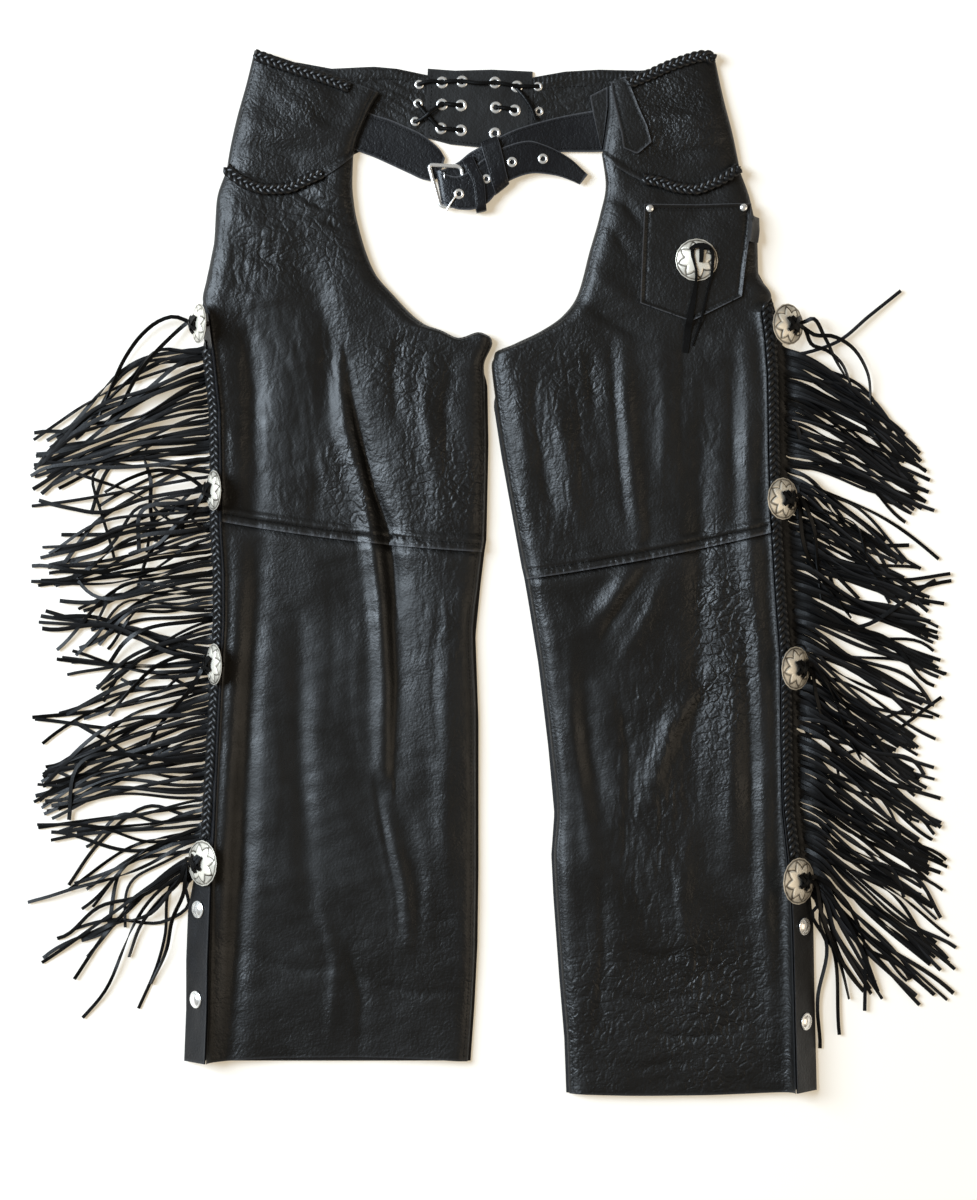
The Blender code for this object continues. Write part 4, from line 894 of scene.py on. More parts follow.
def wrinkles(x, y, heading, pitch, seed):
    """Valleys about a pitch apart that wander along a heading, uneven in depth and length, from 0 to -1."""
    angle = math.radians(heading)
    across = (x * math.cos(angle) + y * math.sin(angle)) * UNIT
    along = (y * math.cos(angle) - x * math.sin(angle)) * UNIT
    spot = across / pitch + 0.9 * ripple(across * 0.8, along * 0.5, 6 * pitch, seed)
    valley = np.exp(-(((spot - np.round(spot)) / 0.2) ** 2))
    fade = np.clip(0.45 + 0.8 * ripple(across, along * 0.4, 4 * pitch, seed + 1), 0, 1)
    return -valley * fade


print("large folds", len(FOLDS), "and creases", len(CREASES))

# %% [markdown]
# A front panel is a net across its rows. It swells to its crown, rolls down at both long edges,
# and its folds ride on top. A shallow groove inside the inner edge is where the seam is sewn.

# %% Front panel net
ROW_PITCH = 2.7 * MM
EDGE_STEPS = (0.0, 1.0, 2.2, 3.4, 4.6, 5.8, 7.4, 9.6, 12.8, 17.0)
MIDDLE_COLUMNS = 120
ROUND_OUTER = 20.0 * MM
ROUND_INNER = 17.0 * MM
SEAM_INSET = 4.8 * MM
SEAM_GROOVE = 0.55 * MM
SEAM_SPREAD = 1.3 * MM
QUIET_EDGE = 9 * MM  # creases fade out this near an edge
LONG_SWELL = (0.55 * MM, 75 * MM, 3)  # the hide's gentle swells: height, size and seed
SHORT_SWELL = (0.15 * MM, 24 * MM, 5)
# Fine wrinkles inside the patches: heading, pitch and depth in mm, and a seed.
LONG_WRINKLES = [(4, 7.5, 0.50, 31), (-10, 12, 0.45, 33)]
NET_WRINKLES = [(40, 8, 0.42, 35), (-55, 9, 0.42, 37), (85, 13, 0.35, 39)]


def rounded(distance, reach):
    inside = np.clip(distance / reach, 0, 1)
    return np.sqrt(1 - (1 - inside) ** 2)


def row_steps(width):
    edge = np.array(EDGE_STEPS) * MM / width
    middle = np.linspace(edge[-1], 1 - edge[-1], MIDDLE_COLUMNS)[1:-1]
    return np.concatenate([edge, middle, 1 - edge[::-1]])


def front_net(side, rows):
    """The outer face of a front, and where each table row falls in it."""
    outer_x, outer_z = [], []
    for row in rows:
        if row.outer_x is None:
            top = slope_point(side, row.outer_y, -side_read(side, "in_", row.outer_y) * MM)
            outer_x.append(top[0] / UNIT + PLAN_MIDDLE[0] - OUTWARD[side] * (SIDE_SEAM + LEATHER / 2) / UNIT)
            outer_z.append((top[2] + LEATHER) / MM)
        else:
            outer_x.append(row.outer_x)
            outer_z.append(row.outer_z)
    columns = ("outer_y", "inner_x", "inner_y", "bow", "crown", "inner_z")
    table = {name: np.array([getattr(row, name) for row in rows], float) for name in columns}
    table["outer_x"], table["outer_z"] = np.array(outer_x), np.array(outer_z)
    down_sides = [np.hypot(np.diff(table[f"{end}_x"]), np.diff(table[f"{end}_y"])) for end in ("outer", "inner")]
    step = sum(down_sides) / 2
    keys = np.concatenate([[0], np.cumsum(step)])
    at, marks = [0.0], [0]
    for start, end in zip(keys, keys[1:]):
        count = max(2, round((end - start) * UNIT / ROW_PITCH))
        at += list(np.linspace(start, end, count + 1)[1:])
        marks.append(len(at) - 1)
    at = np.array(at)
    fine = {name: smooth_read(keys, values, at)[:, None] for name, values in table.items()}
    lowest = [row.outer_y for row in rows if row.outer_x is None]
    if lowest:
        y = fine["outer_y"][:, 0]
        follows = y >= lowest[0]
        top = slope_point(side, y, -side_read(side, "in_", y) * MM)
        x = top[:, 0] / UNIT + PLAN_MIDDLE[0] - OUTWARD[side] * (SIDE_SEAM + LEATHER / 2) / UNIT
        fine["outer_x"][follows, 0] = x[follows]
        fine["outer_z"][follows, 0] = (top[follows, 2] + LEATHER) / MM
    width = np.hypot(fine["outer_x"] - fine["inner_x"], fine["outer_y"] - fine["inner_y"]) * UNIT
    steps = np.stack([row_steps(w) for w in width[:, 0]])
    x = fine["outer_x"] + (fine["inner_x"] - fine["outer_x"]) * steps
    y = fine["outer_y"] + (fine["inner_y"] - fine["outer_y"]) * steps + fine["bow"] * 4 * steps * (1 - steps)
    crown = fine["crown"] * MM + fold_height(side, x, y, FOLDS)
    edge = np.minimum(steps, 1 - steps) * width
    quiet = np.clip(edge / QUIET_EDGE, 0, 1)
    detail = fold_height(side, x, y, CREASES)
    for rise, size, seed in (LONG_SWELL, SHORT_SWELL):
        detail = detail + rise * ripple(x * UNIT, y * UNIT, size, seed)
    for kind, table in (("lengthwise", LONG_WRINKLES), ("creased", NET_WRINKLES)):
        strength = patch_strength(side, kind, x, y)
        for heading, pitch, depth, seed in table:
            detail = detail + depth * MM * strength * wrinkles(x, y, heading, pitch * MM, seed)
    outer_z, inner_z = fine["outer_z"] * MM, fine["inner_z"] * MM
    height = outer_z + (crown - outer_z) * rounded(steps * width, ROUND_OUTER)
    height = inner_z + (height - inner_z) * rounded((1 - steps) * width, ROUND_INNER)
    height = height + detail * quiet
    from_inner = (1 - steps) * width
    height = height - SEAM_GROOVE * np.exp(-(((from_inner - SEAM_INSET) / SEAM_SPREAD) ** 2))
    x, y = pulled(side, x, y)
    return plan(x, y, np.maximum(height, FLOOR_GAP + LEATHER)), marks


def inner_face(net, lowest=FLOOR_GAP):
    across = np.gradient(net, axis=1)
    along = np.gradient(net, axis=0)
    normal = np.cross(across, along)
    normal /= np.linalg.norm(normal, axis=-1)[..., None]
    under = net.copy()
    under[..., 2] = np.maximum(net[..., 2] - LEATHER / np.maximum(abs(normal[..., 2]), 0.6), lowest)
    return under


print("columns across a front", len(row_steps(0.3)))

# %% [markdown]
# Each front is three pieces: the yoke, the thigh, and the shin, which the thigh laps over at the
# knee. A row of stitching a little above the lap sinks into the leather.

# %% Yokes, thighs and shins
KNEE_STITCH = 7.5 * MM
LAP_LIFT = LEATHER + 1.5 * GAP
YOKE_LAP = 3.5 * MM
HEM_RISE = 1.0 * MM
KNEE_GROOVE = 1.1 * MM
SHIN_DIP = 1.8 * MM
PUCKER_PITCH = 6.5 * MM
PUCKER_HEIGHT = 0.30 * MM
SEAM_COLUMN = EDGE_STEPS.index(4.6)
LAP_BLEND = 3 * MM  # how softly a panel starts to lift over the next
HEM_BLEND = 1.5 * MM
KNEE_SPREAD = 1.4 * MM
SHIN_SPREAD = 3.6 * MM
LAP_EDGE = 0.7  # how pale the lap's cut edge is painted: partly a worn cut edge, partly a painted highlight


def lifted_by(length, to_end):
    """From 0 to 1 where a lap of this length lifts over the next panel."""
    return np.clip((length + LAP_BLEND - to_end) / LAP_BLEND, 0, 1)


def to_last_row(net):
    """How far each point of a net is from its last row, down the net."""
    run = np.linalg.norm(np.diff(net, axis=0), axis=-1)
    return np.concatenate([np.cumsum(run[::-1], axis=0)[::-1], np.zeros((1, net.shape[1]))])


def make_front(side):
    nets = {}
    yoke, _ = front_net(side, YOKES[side])
    yoke[..., 2] += LAP_LIFT * lifted_by(YOKE_LAP, to_last_row(yoke))
    leg, marks = front_net(side, LEGS[side])
    lap, end = marks[LAP_ROW], marks[LAP_ROW + 1]
    nets["shin"] = leg[lap:].copy()
    thigh = leg[: end + 1].copy()
    to_end = to_last_row(thigh)
    thigh[..., 2] += LAP_LIFT * lifted_by(to_end[lap], to_end)
    hem = np.clip((KNEE_STITCH - to_end) / HEM_BLEND, 0, 1)
    wander = 0.6 * ripple(thigh[..., 0], thigh[..., 1], 30 * MM, 8)
    puckers = np.sin(2 * math.pi * (thigh[..., 0] / PUCKER_PITCH + wander))
    thigh[..., 2] += hem * (HEM_RISE + PUCKER_HEIGHT * puckers)
    thigh[..., 2] -= KNEE_GROOVE * np.exp(-(((to_end - KNEE_STITCH) / KNEE_SPREAD) ** 2))
    shin_run = np.linalg.norm(np.diff(nets["shin"], axis=0), axis=-1)
    from_top = np.concatenate([np.zeros((1, thigh.shape[1])), np.cumsum(shin_run, axis=0)])
    below_lap = from_top - from_top[end - lap]
    nets["shin"][..., 2] -= SHIN_DIP * np.exp(-((np.maximum(below_lap, 0) / SHIN_SPREAD) ** 2))
    seam = []
    for line, column in zip(to_end.T, thigh.swapaxes(0, 1)):
        seam.append([np.interp(KNEE_STITCH, line[::-1], part[::-1]) for part in column.T])
    SEAMS.append(np.array(seam))
    nets["thigh"] = thigh
    nets["yoke"] = yoke
    made = {}
    for name, net in nets.items():
        x, y = net[..., 0] / UNIT + PLAN_MIDDLE[0], PLAN_MIDDLE[1] - net[..., 1] / UNIT
        marks = {kind: patch_strength(side, kind, x, y) for kind in KINDS}
        if name == "thigh":
            # The lap's cut edge is painted pale: partly a worn edge, partly a painted highlight.
            marks["edge"] = np.zeros(x.shape)
            marks["edge"][-1] = LAP_EDGE
        made[name] = shell(f"{name}_shell_{side}", net, inner_face(net), "panel leather", marks=marks)
        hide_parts(f"{name}_front_{side}")
        SEAMS.append(net[:, -1 - SEAM_COLUMN])
        if name == "yoke":
            SEAMS.append(net[:, SEAM_COLUMN])
    return made, nets


FRONTS, NETS = {}, {}
for side in OUTWARD:
    FRONTS[side], NETS[side] = make_front(side)
    for name, net in NETS[side].items():
        runs = [np.linalg.norm(np.diff(net, axis=axis), axis=-1).sum(axis) for axis in (1, 0)]
        size = tuple(float(run.max()) for run in runs)
        cut_as(net, size)
        print(name, side, "is cut from", [round(v, 3) for v in size], "m")

# %% [markdown]
# The backs lie flat on the floor under the fronts. Only their edges show: beside the inner leg,
# at the waist, and at the laced middle. They are plain nets with a little waviness on top.

# %% Backs and lacing panel
SEAT_MARGIN = 12.0
BACK_SHOWS = 2.5
CROTCH_ROW = 8
YOKE_BACKS = {
    "left": [
        ((256, 57), (226, 166)),
        ((298, 61), (270, 170)),
        ((331, 67), (322, 168)),
        ((374, 65), (368, 146)),
        ((396, 67), (396, 140)),
        ((429.5, 74), (425.5, 136)),
    ],
    "right": [
        ((712, 60), (740, 166)),
        ((680, 66), (700, 172)),
        ((640, 69), (640, 168)),
        ((600, 68), (600, 148)),
        ((565, 70), (564, 146)),
        ((531.5, 76), (531, 144)),
    ],
}
LACING_PANEL = [
    ((427.6, 67), (424.4, 136)),
    ((455, 69), (450, 143)),
    ((492, 68), (490, 147)),
    ((532.8, 70), (532.4, 147)),
]
FLAT_SWELL = 0.6 * MM
PANEL_LIFT = 0.45 * MM
HEM_HEIGHT = 0.9 * MM
GATHER_PITCH = 4.6
GATHERS = {"left": 0.06, "right": 0.16}
CRUMPLE = 0.45 * MM


def net_between(rows, along, across):
    """A fine net from rows of (first end, second end) plan places."""
    firsts, seconds = np.array([r[0] for r in rows], float), np.array([r[1] for r in rows], float)
    keys = np.arange(len(rows))
    at = np.linspace(0, len(rows) - 1, along)
    ends = [np.stack([np.interp(at, keys, part[:, i]) for i in (0, 1)], -1) for part in (firsts, seconds)]
    share = np.linspace(0, 1, across)[None, :, None]
    places = ends[0][:, None] * (1 - share) + ends[1][:, None] * share
    return places[..., 0], places[..., 1]


def flat_piece(name, node_name, rows, along, across, flat, seed, hem=0.0, gathers=0.0, extra=0.0):
    """A back or the lacing panel: nearly flat, with a hem that may be gathered at its first edge."""
    x, y = pulled(name.rsplit("_", 1)[1], *net_between(rows, along, across))
    share = np.linspace(0, 1, across)[None, :]
    swell = FLAT_SWELL * (0.5 + 0.5 * np.clip(ripple(x * UNIT, y * UNIT, 30 * MM, seed), -1, 1))
    band = np.exp(-(((share - 0.07) / 0.07) ** 4))
    gather = np.sin(2 * math.pi * x / GATHER_PITCH + ripple(x * UNIT, y * UNIT, 20 * MM, seed))
    fold = hem * band * (1 + gathers * gather)
    net_of_lines = wrinkles(x, y, 72, 9 * MM, seed) + wrinkles(x, y, -60, 13 * MM, seed + 2)
    crumple = CRUMPLE * (hem > 0) * net_of_lines
    upper = plan(x, y, LEATHER + extra + swell * 0.5 + fold + crumple * (1 - band))
    lower = plan(x, y, 0.0)
    marks = {"creased": np.full(x.shape, 0.2 if hem else 0.0)}
    made = shell(name, upper, lower, "panel leather" if hem else "smooth leather", marks=marks)
    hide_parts(node_name)
    cut_as(upper, flat)
    return made


for side, outward in OUTWARD.items():
    rows = []
    for index, row in enumerate(LEGS[side]):
        if index == 0:
            continue
        margin = BACK_SHOWS if index > CROTCH_ROW else -SEAT_MARGIN
        if row.outer_x is None:
            low = slope_point(side, row.outer_y, side_read(side, "out", row.outer_y) * MM - 1.5 * MM)
            outer_x = low[0] / UNIT + PLAN_MIDDLE[0]
        else:
            outer_x = row.outer_x
        rows.append(((outer_x, row.outer_y), (row.inner_x - outward * margin, row.inner_y)))
    flat_piece(f"leg_back_shell_{side}", f"leg_back_{side}", rows, 160, 12, (0.30, 0.87), 11)
    flat_piece(
        f"yoke_back_shell_{side}", f"yoke_back_{side}", YOKE_BACKS[side], 200, 40, (0.20, 0.115), 12,
        HEM_HEIGHT, GATHERS[side],
    )
flat_piece("lacing_panel_shell", "lacing_panel", LACING_PANEL, 60, 40, (0.11, 0.08), 13, extra=PANEL_LIFT)

# %% [markdown]
# The side flap is a narrow placket that slopes from the front panel's roll down to the floor.
# It is a band along the side line, a little wavy.

# %% Side flaps


def make_side_flap(side):
    table = SIDES[side]
    y = np.linspace(table[0].y, table[-1].y, 230)[:, None]
    inside, outside = -side_read(side, "in_", y) * MM, side_read(side, "out", y) * MM
    share = np.linspace(0, 1, 15)[None, :]
    down = inside + (outside - inside) * share
    y = np.broadcast_to(y, down.shape)
    wave = 0.35 * MM * ripple(down * 1.0, y * UNIT, 40 * MM, 21) * np.sin(np.pi * share)
    upper = slope_point(side, y, down, LEATHER / 2 + wave)
    lower = slope_point(side, y, down, -LEATHER / 2 + wave)
    made = shell(f"side_flap_shell_{side}", upper, lower, "flap leather")
    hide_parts(f"side_flap_{side}")
    length = (table[-1].y - table[0].y) * UNIT
    cut_as(upper, (0.033, length * 1.01))
    return made


print("side flaps", [make_side_flap(side).name for side in OUTWARD])

# %% [markdown]
# The plaits are three strands of lace. A strand of a flat plait weaves from side to side and rises
# over its neighbour twice on each trip, so it follows a sine across and a doubled sine in height.

# %% Braids
PLAIT_PERIOD = 20.0 * MM
STEPS_A_PERIOD = 16
PLAIT_WIDTH = 11.4 * MM
FLOOR_CLEAR = 0.15 * MM


def ribbon(centres, normals, widths, thickness, rolls=None, sides=4, closed=False):
    """A strip of lace round a path: rings of points, and its faces. It never dips into the floor."""
    centres = np.asarray(centres, float)
    if closed:
        tangents = np.roll(centres, -1, 0) - np.roll(centres, 1, 0)
    else:
        tangents = np.gradient(centres, axis=0)
    tangents /= np.linalg.norm(tangents, axis=1)[:, None]
    across = np.cross(tangents, normals)
    across /= np.linalg.norm(across, axis=1)[:, None]
    up = np.cross(across, tangents)
    if rolls is not None:
        cos, sin = np.cos(rolls)[:, None], np.sin(rolls)[:, None]
        across, up = across * cos + up * sin, up * cos - across * sin
    widths = np.broadcast_to(widths, len(centres))[:, None]
    corners = []
    for step in range(sides):
        angle = math.pi / sides + 2 * math.pi * step / sides
        grow = 1 / math.cos(math.pi / sides) if sides == 4 else 1.0
        corners.append(centres + across * widths / 2 * math.cos(angle) * grow + up * thickness / 2 * math.sin(angle) * grow)
    points = np.stack(corners, 1)
    points[..., 2] += np.maximum(FLOOR_CLEAR - points[..., 2].min(1), 0)[:, None]
    count = len(centres)
    index = np.arange(count * sides).reshape(count, sides)
    if closed:
        index = np.vstack([index, index[:1]])
    beside = np.roll(index, -1, axis=1)
    faces = np.stack([index[:-1], beside[:-1], beside[1:], index[1:]], -1).reshape(-1, 4).tolist()
    if not closed:
        faces += [index[0].tolist(), index[-1].tolist()]
    return points.reshape(-1, 3), faces


def join(parts):
    """Several (points, faces) as one."""
    points, faces, start = [], [], 0
    for these, own in parts:
        points.append(these)
        faces += [[corner + start for corner in face] for face in own]
        start += len(these)
    return np.concatenate(points), faces


def plait(centres, normals, across, width, height):
    """Three strands woven along a path of evenly spaced places."""
    run = run_along(centres)
    count = int(run[-1] / PLAIT_PERIOD * STEPS_A_PERIOD) + 1
    at = np.linspace(0, run[-1], count)

    def read(values):
        return np.stack([np.interp(at, run, values[:, i]) for i in range(3)], -1)

    centre, normal, side = read(centres), read(normals), read(across)
    parts = []
    for strand in range(3):
        phase = 2 * math.pi * (at / PLAIT_PERIOD + strand / 3)
        sway = (width / 2 - 2.0 * MM) * np.sin(phase)
        lift = height * 0.5 + (height * 0.27) * np.sin(2 * phase)
        path = centre + side * sway[:, None] + normal * lift[:, None]
        parts.append(ribbon(path, normal, 4.9 * MM, 1.9 * MM, sides=6))
    return join(parts)


PLAIT_LEVEL = 1.2  # how far the side plaits turn from the flap's slope towards level
BRAID_RUNS = {"left": (350, 838), "right": (304, 856)}
for side, (top, bottom) in BRAID_RUNS.items():
    y = np.linspace(max(top, SIDES[side][0].y - 10), bottom, 160)
    centres = slope_point(side, y, np.full(len(y), -1.2 * MM), LEATHER / 2 + 1.0 * MM)
    if side == "right":
        centres[:, 1] = plan(0, y)[:, 1]
    normals = side_normal(side, y) + UP * PLAIT_LEVEL
    normals /= np.linalg.norm(normals, axis=1)[:, None]
    across = np.cross(normals, np.array([0, 1.0, 0]))
    points, faces = plait(centres, normals, across, PLAIT_WIDTH, 3.6 * MM)
    made = add_piece(f"side_plait_{side}", points, faces, "braid leather", np.full(len(points), 0.3), "braid_leather", 80)
    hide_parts(f"side_braid_{side}")
    print(made.name, "faces", len(faces))

# %% [markdown]
# What lies on the leather has to sit at its height. A ray dropped from above on the finished
# fronts gives that height anywhere, so braids, pocket and thongs are laid on what carries them.

# %% Reading the surface below


class Below:
    """The top of some pieces, read from above."""

    def __init__(self, *pieces):
        self.trees = []
        for piece in pieces:
            mesh = piece.data
            points = [v.co.copy() for v in mesh.vertices]
            self.trees.append(BVHTree.FromPolygons(points, [tuple(p.vertices) for p in mesh.polygons]))

    def height(self, x, y):
        best = 0.0
        for tree in self.trees:
            hit = tree.ray_cast(Vector((x, y, 1.0)), Vector((0, 0, -1)))
            if hit[0] is not None:
                best = max(best, hit[0].z)
        return best

    def around(self, x, y, reach):
        best = self.height(x, y)
        for step in range(8):
            angle = math.pi * step / 4
            best = max(best, self.height(x + math.cos(angle) * reach, y + math.sin(angle) * reach))
        return best

    def lay(self, points, reach, lift):
        """Points set on the surface below, softened so that nothing kinks."""
        points = np.array(points, float)
        heights = np.array([self.around(p[0], p[1], reach) for p in points])
        for _ in range(3):
            padded = np.pad(heights, 1, mode="edge")
            heights = np.maximum(heights, (padded[:-2] + padded[2:]) / 2)
        points[:, 2] = heights + lift
        return points


def even_line(line, pitch):
    """Places an even pitch apart along a smooth line of plan places."""
    line = np.array(line, float)
    run = np.concatenate([[0], np.cumsum(np.hypot(*np.diff(line, axis=0).T))])
    at = np.linspace(0, run[-1], max(3, int(run[-1] * UNIT / pitch)) + 1)
    return np.stack([smooth_read(run, line[:, 0], at), smooth_read(run, line[:, 1], at)], -1)


Trim = namedtuple("Trim", "name line")
TRIM_BRAIDS = [
    Trim("waist_braid_left", [(255, 55), (282, 65), (306, 73), (331, 81), (349, 88)]),
    Trim("hip_braid_left", [(226, 168), (236, 178), (253, 187), (267, 190), (286, 189), (306, 181), (322, 174)]),
    Trim("waist_braid_right", [(628, 84), (650, 75), (673, 65), (707, 56), (714, 60)]),
    Trim("hip_braid_right", [(643, 180), (657, 182), (675, 188), (694, 190), (710, 185), (726, 177), (739, 168)]),
]
for trim in TRIM_BRAIDS:
    side = trim.name.rsplit("_", 1)[1]
    below = Below(FRONTS[side]["yoke"], FRONTS[side]["thigh"])
    places = even_line(trim.line, 2.5 * MM)
    centres = below.lay(plan(places[:, 0], places[:, 1]), 4 * MM, 0.2 * MM)
    tangents = np.gradient(centres, axis=0)
    normals = np.tile([0, 0, 1.0], (len(centres), 1))
    across = np.cross(tangents, normals)
    across /= np.linalg.norm(across, axis=1)[:, None]
    points, faces = plait(centres, normals, across, PLAIT_WIDTH, 3.6 * MM)
    made = add_piece(f"{trim.name}_plait", points, faces, "braid leather", np.full(len(points), 0.3), "braid_leather", 80)
    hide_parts(trim.name)
print("trim braids", len(TRIM_BRAIDS))

# %% [markdown]
# The fringe is cut strip lace. Its strands leave the leg just outside the braid, run down the
# flap, bend on to the floor and gather in bunches where they last fell. Each bunch is a row:
# its roots, the place it gathers at, and the middle of its tips. Strands differ by a seeded jitter.

# %% Fringe
Bunch = namedtuple("Bunch", "side y0 y1 count gather tip spread_gather spread_tip")
BUNCHES = [
    Bunch("left", 345, 352, 3, (150, 352), (58, 444), (6, 5), (6, 5)),
    Bunch("left", 350, 372, 5, (128, 398), (46, 447), (8, 6), (8, 5)),
    Bunch("left", 368, 400, 8, (108, 430), (33, 456), (14, 8), (6, 10)),
    Bunch("left", 398, 430, 8, (104, 442), (33, 470), (14, 8), (7, 12)),
    Bunch("left", 428, 452, 6, (112, 452), (45, 482), (16, 8), (14, 9)),
    Bunch("left", 452, 476, 5, (140, 478), (66, 500), (14, 14), (28, 14)),
    Bunch("left", 480, 510, 6, (150, 520), (118, 552), (20, 20), (26, 14)),
    Bunch("left", 505, 530, 6, (122, 535), (40, 562), (14, 10), (6, 9)),
    Bunch("left", 525, 560, 8, (112, 566), (40, 582), (20, 10), (10, 10)),
    Bunch("left", 555, 590, 7, (118, 590), (66, 600), (18, 10), (18, 12)),
    Bunch("left", 585, 615, 7, (128, 604), (90, 648), (16, 14), (14, 12)),
    Bunch("left", 612, 640, 6, (135, 655), (92, 688), (16, 10), (20, 12)),
    Bunch("left", 640, 660, 6, (118, 628), (40, 614), (10, 5), (6, 6)),
    Bunch("left", 655, 672, 4, (150, 668), (55, 657), (8, 5), (4, 5)),
    Bunch("left", 668, 690, 5, (120, 700), (66, 718), (14, 8), (16, 8)),
    Bunch("left", 685, 720, 8, (118, 732), (42, 778), (16, 8), (8, 11)),
    Bunch("left", 715, 760, 11, (112, 765), (36, 790), (18, 10), (6, 13)),
    Bunch("left", 755, 797, 9, (108, 785), (44, 812), (16, 10), (10, 11)),
    Bunch("left", 795, 830, 7, (140, 822), (62, 834), (14, 8), (20, 9)),
    Bunch("left", 826, 850, 6, (150, 850), (74, 900), (12, 10), (20, 16)),
    Bunch("left", 850, 878, 5, (130, 905), (66, 950), (14, 12), (20, 20)),
    Bunch("right", 346, 362, 4, (832, 352), (902, 436), (8, 6), (4, 4)),
    Bunch("right", 360, 392, 8, (846, 382), (915, 460), (10, 8), (10, 10)),
    Bunch("right", 390, 430, 10, (846, 420), (926, 488), (12, 10), (10, 14)),
    Bunch("right", 428, 466, 9, (838, 450), (918, 508), (12, 10), (12, 9)),
    Bunch("right", 466, 500, 7, (840, 500), (890, 556), (12, 12), (14, 12)),
    Bunch("right", 498, 530, 7, (842, 530), (905, 582), (12, 12), (12, 12)),
    Bunch("right", 528, 560, 7, (844, 560), (928, 600), (12, 10), (10, 12)),
    Bunch("right", 556, 590, 8, (838, 604), (943, 634), (10, 8), (5, 12)),
    Bunch("right", 588, 620, 8, (846, 620), (940, 668), (10, 8), (6, 9)),
    Bunch("right", 618, 650, 8, (850, 660), (925, 706), (12, 10), (10, 12)),
    Bunch("right", 648, 690, 9, (846, 700), (912, 748), (12, 12), (12, 12)),
    Bunch("right", 688, 720, 7, (850, 730), (930, 784), (12, 12), (14, 18)),
    Bunch("right", 718, 760, 9, (852, 768), (934, 832), (14, 12), (10, 14)),
    Bunch("right", 758, 800, 9, (852, 806), (936, 872), (12, 12), (8, 13)),
    Bunch("right", 798, 835, 8, (850, 840), (932, 900), (12, 12), (12, 14)),
    Bunch("right", 833, 862, 7, (850, 880), (946, 962), (12, 10), (6, 13)),
    Bunch("right", 858, 880, 5, (842, 905), (925, 996), (10, 10), (20, 12)),
    Bunch("right", 878, 890, 3, (832, 925), (880, 1000), (10, 8), (12, 12)),
]
# Strands that lie apart from their bunch, each with its own places after the flap.
Stray = namedtuple("Stray", "side y places")
STRAYS = [
    Stray("left", 350, [(160, 350), (126, 378), (81, 416), (48.6, 445)]),
    Stray("left", 356, [(163, 362), (131, 376), (108, 398), (60, 444)]),
    Stray("left", 440, [(165, 438), (144, 450), (151, 480), (149, 512), (154, 541)]),
    Stray("left", 446, [(140, 452), (97, 475), (102, 514), (107, 552)]),
    Stray("left", 456, [(165, 478), (122, 504), (95, 522), (63, 562)]),
    Stray("left", 486, [(150, 500), (96, 512), (71, 504), (37, 492)]),
    Stray("left", 505, [(183, 508), (151, 514), (126, 526), (100, 541), (39, 558)]),
    Stray("left", 530, [(180, 500), (150, 500), (120, 488), (70, 470)]),
    Stray("left", 660, [(184, 672), (165, 688), (140, 690), (120, 680)]),
    Stray("left", 690, [(160, 676), (120, 694), (90, 710), (43, 749)]),
    Stray("left", 696, [(160, 716), (113, 727), (70, 724), (34, 721)]),
    Stray("left", 770, [(150, 768), (110, 742), (72, 720)]),
    Stray("left", 815, [(150, 806), (100, 842), (68, 887)]),
    Stray("left", 825, [(150, 850), (110, 880), (81, 910)]),
    Stray("left", 834, [(150, 842), (100, 828), (36, 825)]),
    Stray("left", 838, [(150, 862), (82, 888), (45, 903), (28, 907)]),
    Stray("left", 860, [(160, 878), (104, 926), (47, 966)]),
    Stray("left", 864, [(160, 882), (110, 930), (72, 979)]),
    Stray("left", 868, [(166, 884), (123, 950), (84, 1021)]),
    Stray("left", 872, [(174, 882), (160, 935), (143, 1012)]),
    Stray("left", 876, [(188, 905), (164, 921), (114, 922), (73, 929)]),
    Stray("right", 352, [(815, 350), (838, 341), (870, 315), (902, 290)]),
    Stray("right", 474, [(798, 486), (800, 512), (812, 548), (838, 590)]),
    Stray("right", 480, [(796, 494), (806, 530), (822, 556), (858, 600)]),
    Stray("right", 640, [(808, 655), (812, 686), (830, 716), (862, 744)]),
    Stray("right", 646, [(806, 664), (822, 700), (846, 722), (880, 762)]),
    Stray("right", 852, [(812, 870), (816, 900), (838, 936), (872, 990)]),
    Stray("right", 545, [(850, 572), (890, 580), (953, 565)]),
    Stray("right", 530, [(860, 552), (890, 575), (950, 588)]),
    Stray("right", 600, [(850, 626), (905, 603), (937, 581)]),
    Stray("right", 690, [(812, 722), (835, 730), (870, 722), (910, 708)]),
    Stray("right", 722, [(812, 750), (840, 754), (867, 745), (943, 700)]),
    Stray("right", 888, [(830, 912), (868, 958), (861, 1014)]),
    Stray("right", 890, [(822, 915), (837, 958), (840, 1036)]),
    Stray("right", 893, [(813, 912), (825, 942), (822, 999), (816, 1050)]),
]
STRAND_WIDTH = 3.6 * MM
STRAND_THICKNESS = 1.1 * MM
STRAND_RINGS = 24
SWAY = 5.0 * MM
FULLNESS = {"left": 1.05, "right": 1.85}
WILD = 0.26  # the share of strands that stray from their bunch
STRAIGHT = {"left": 0.15, "right": 0.6}  # how far a bunch's middle is drawn to the line from root to tip
ROOT_RISE = 0.55  # how far above its flap's edge a strand starts, as a share of its way down the flap
TIP_LIMITS = (31.0, 955.0)
UPPER_CORNER = {"left": 0, "right": 1}  # the corner of a strand's ring that faces the waist, which gets the painted highlight
STRAND_HIGHLIGHT = 0.28  # the most that a strand's upper edge is painted pale, as a painted highlight
FRINGE_SEEDS = {"left": 40, "right": 41}


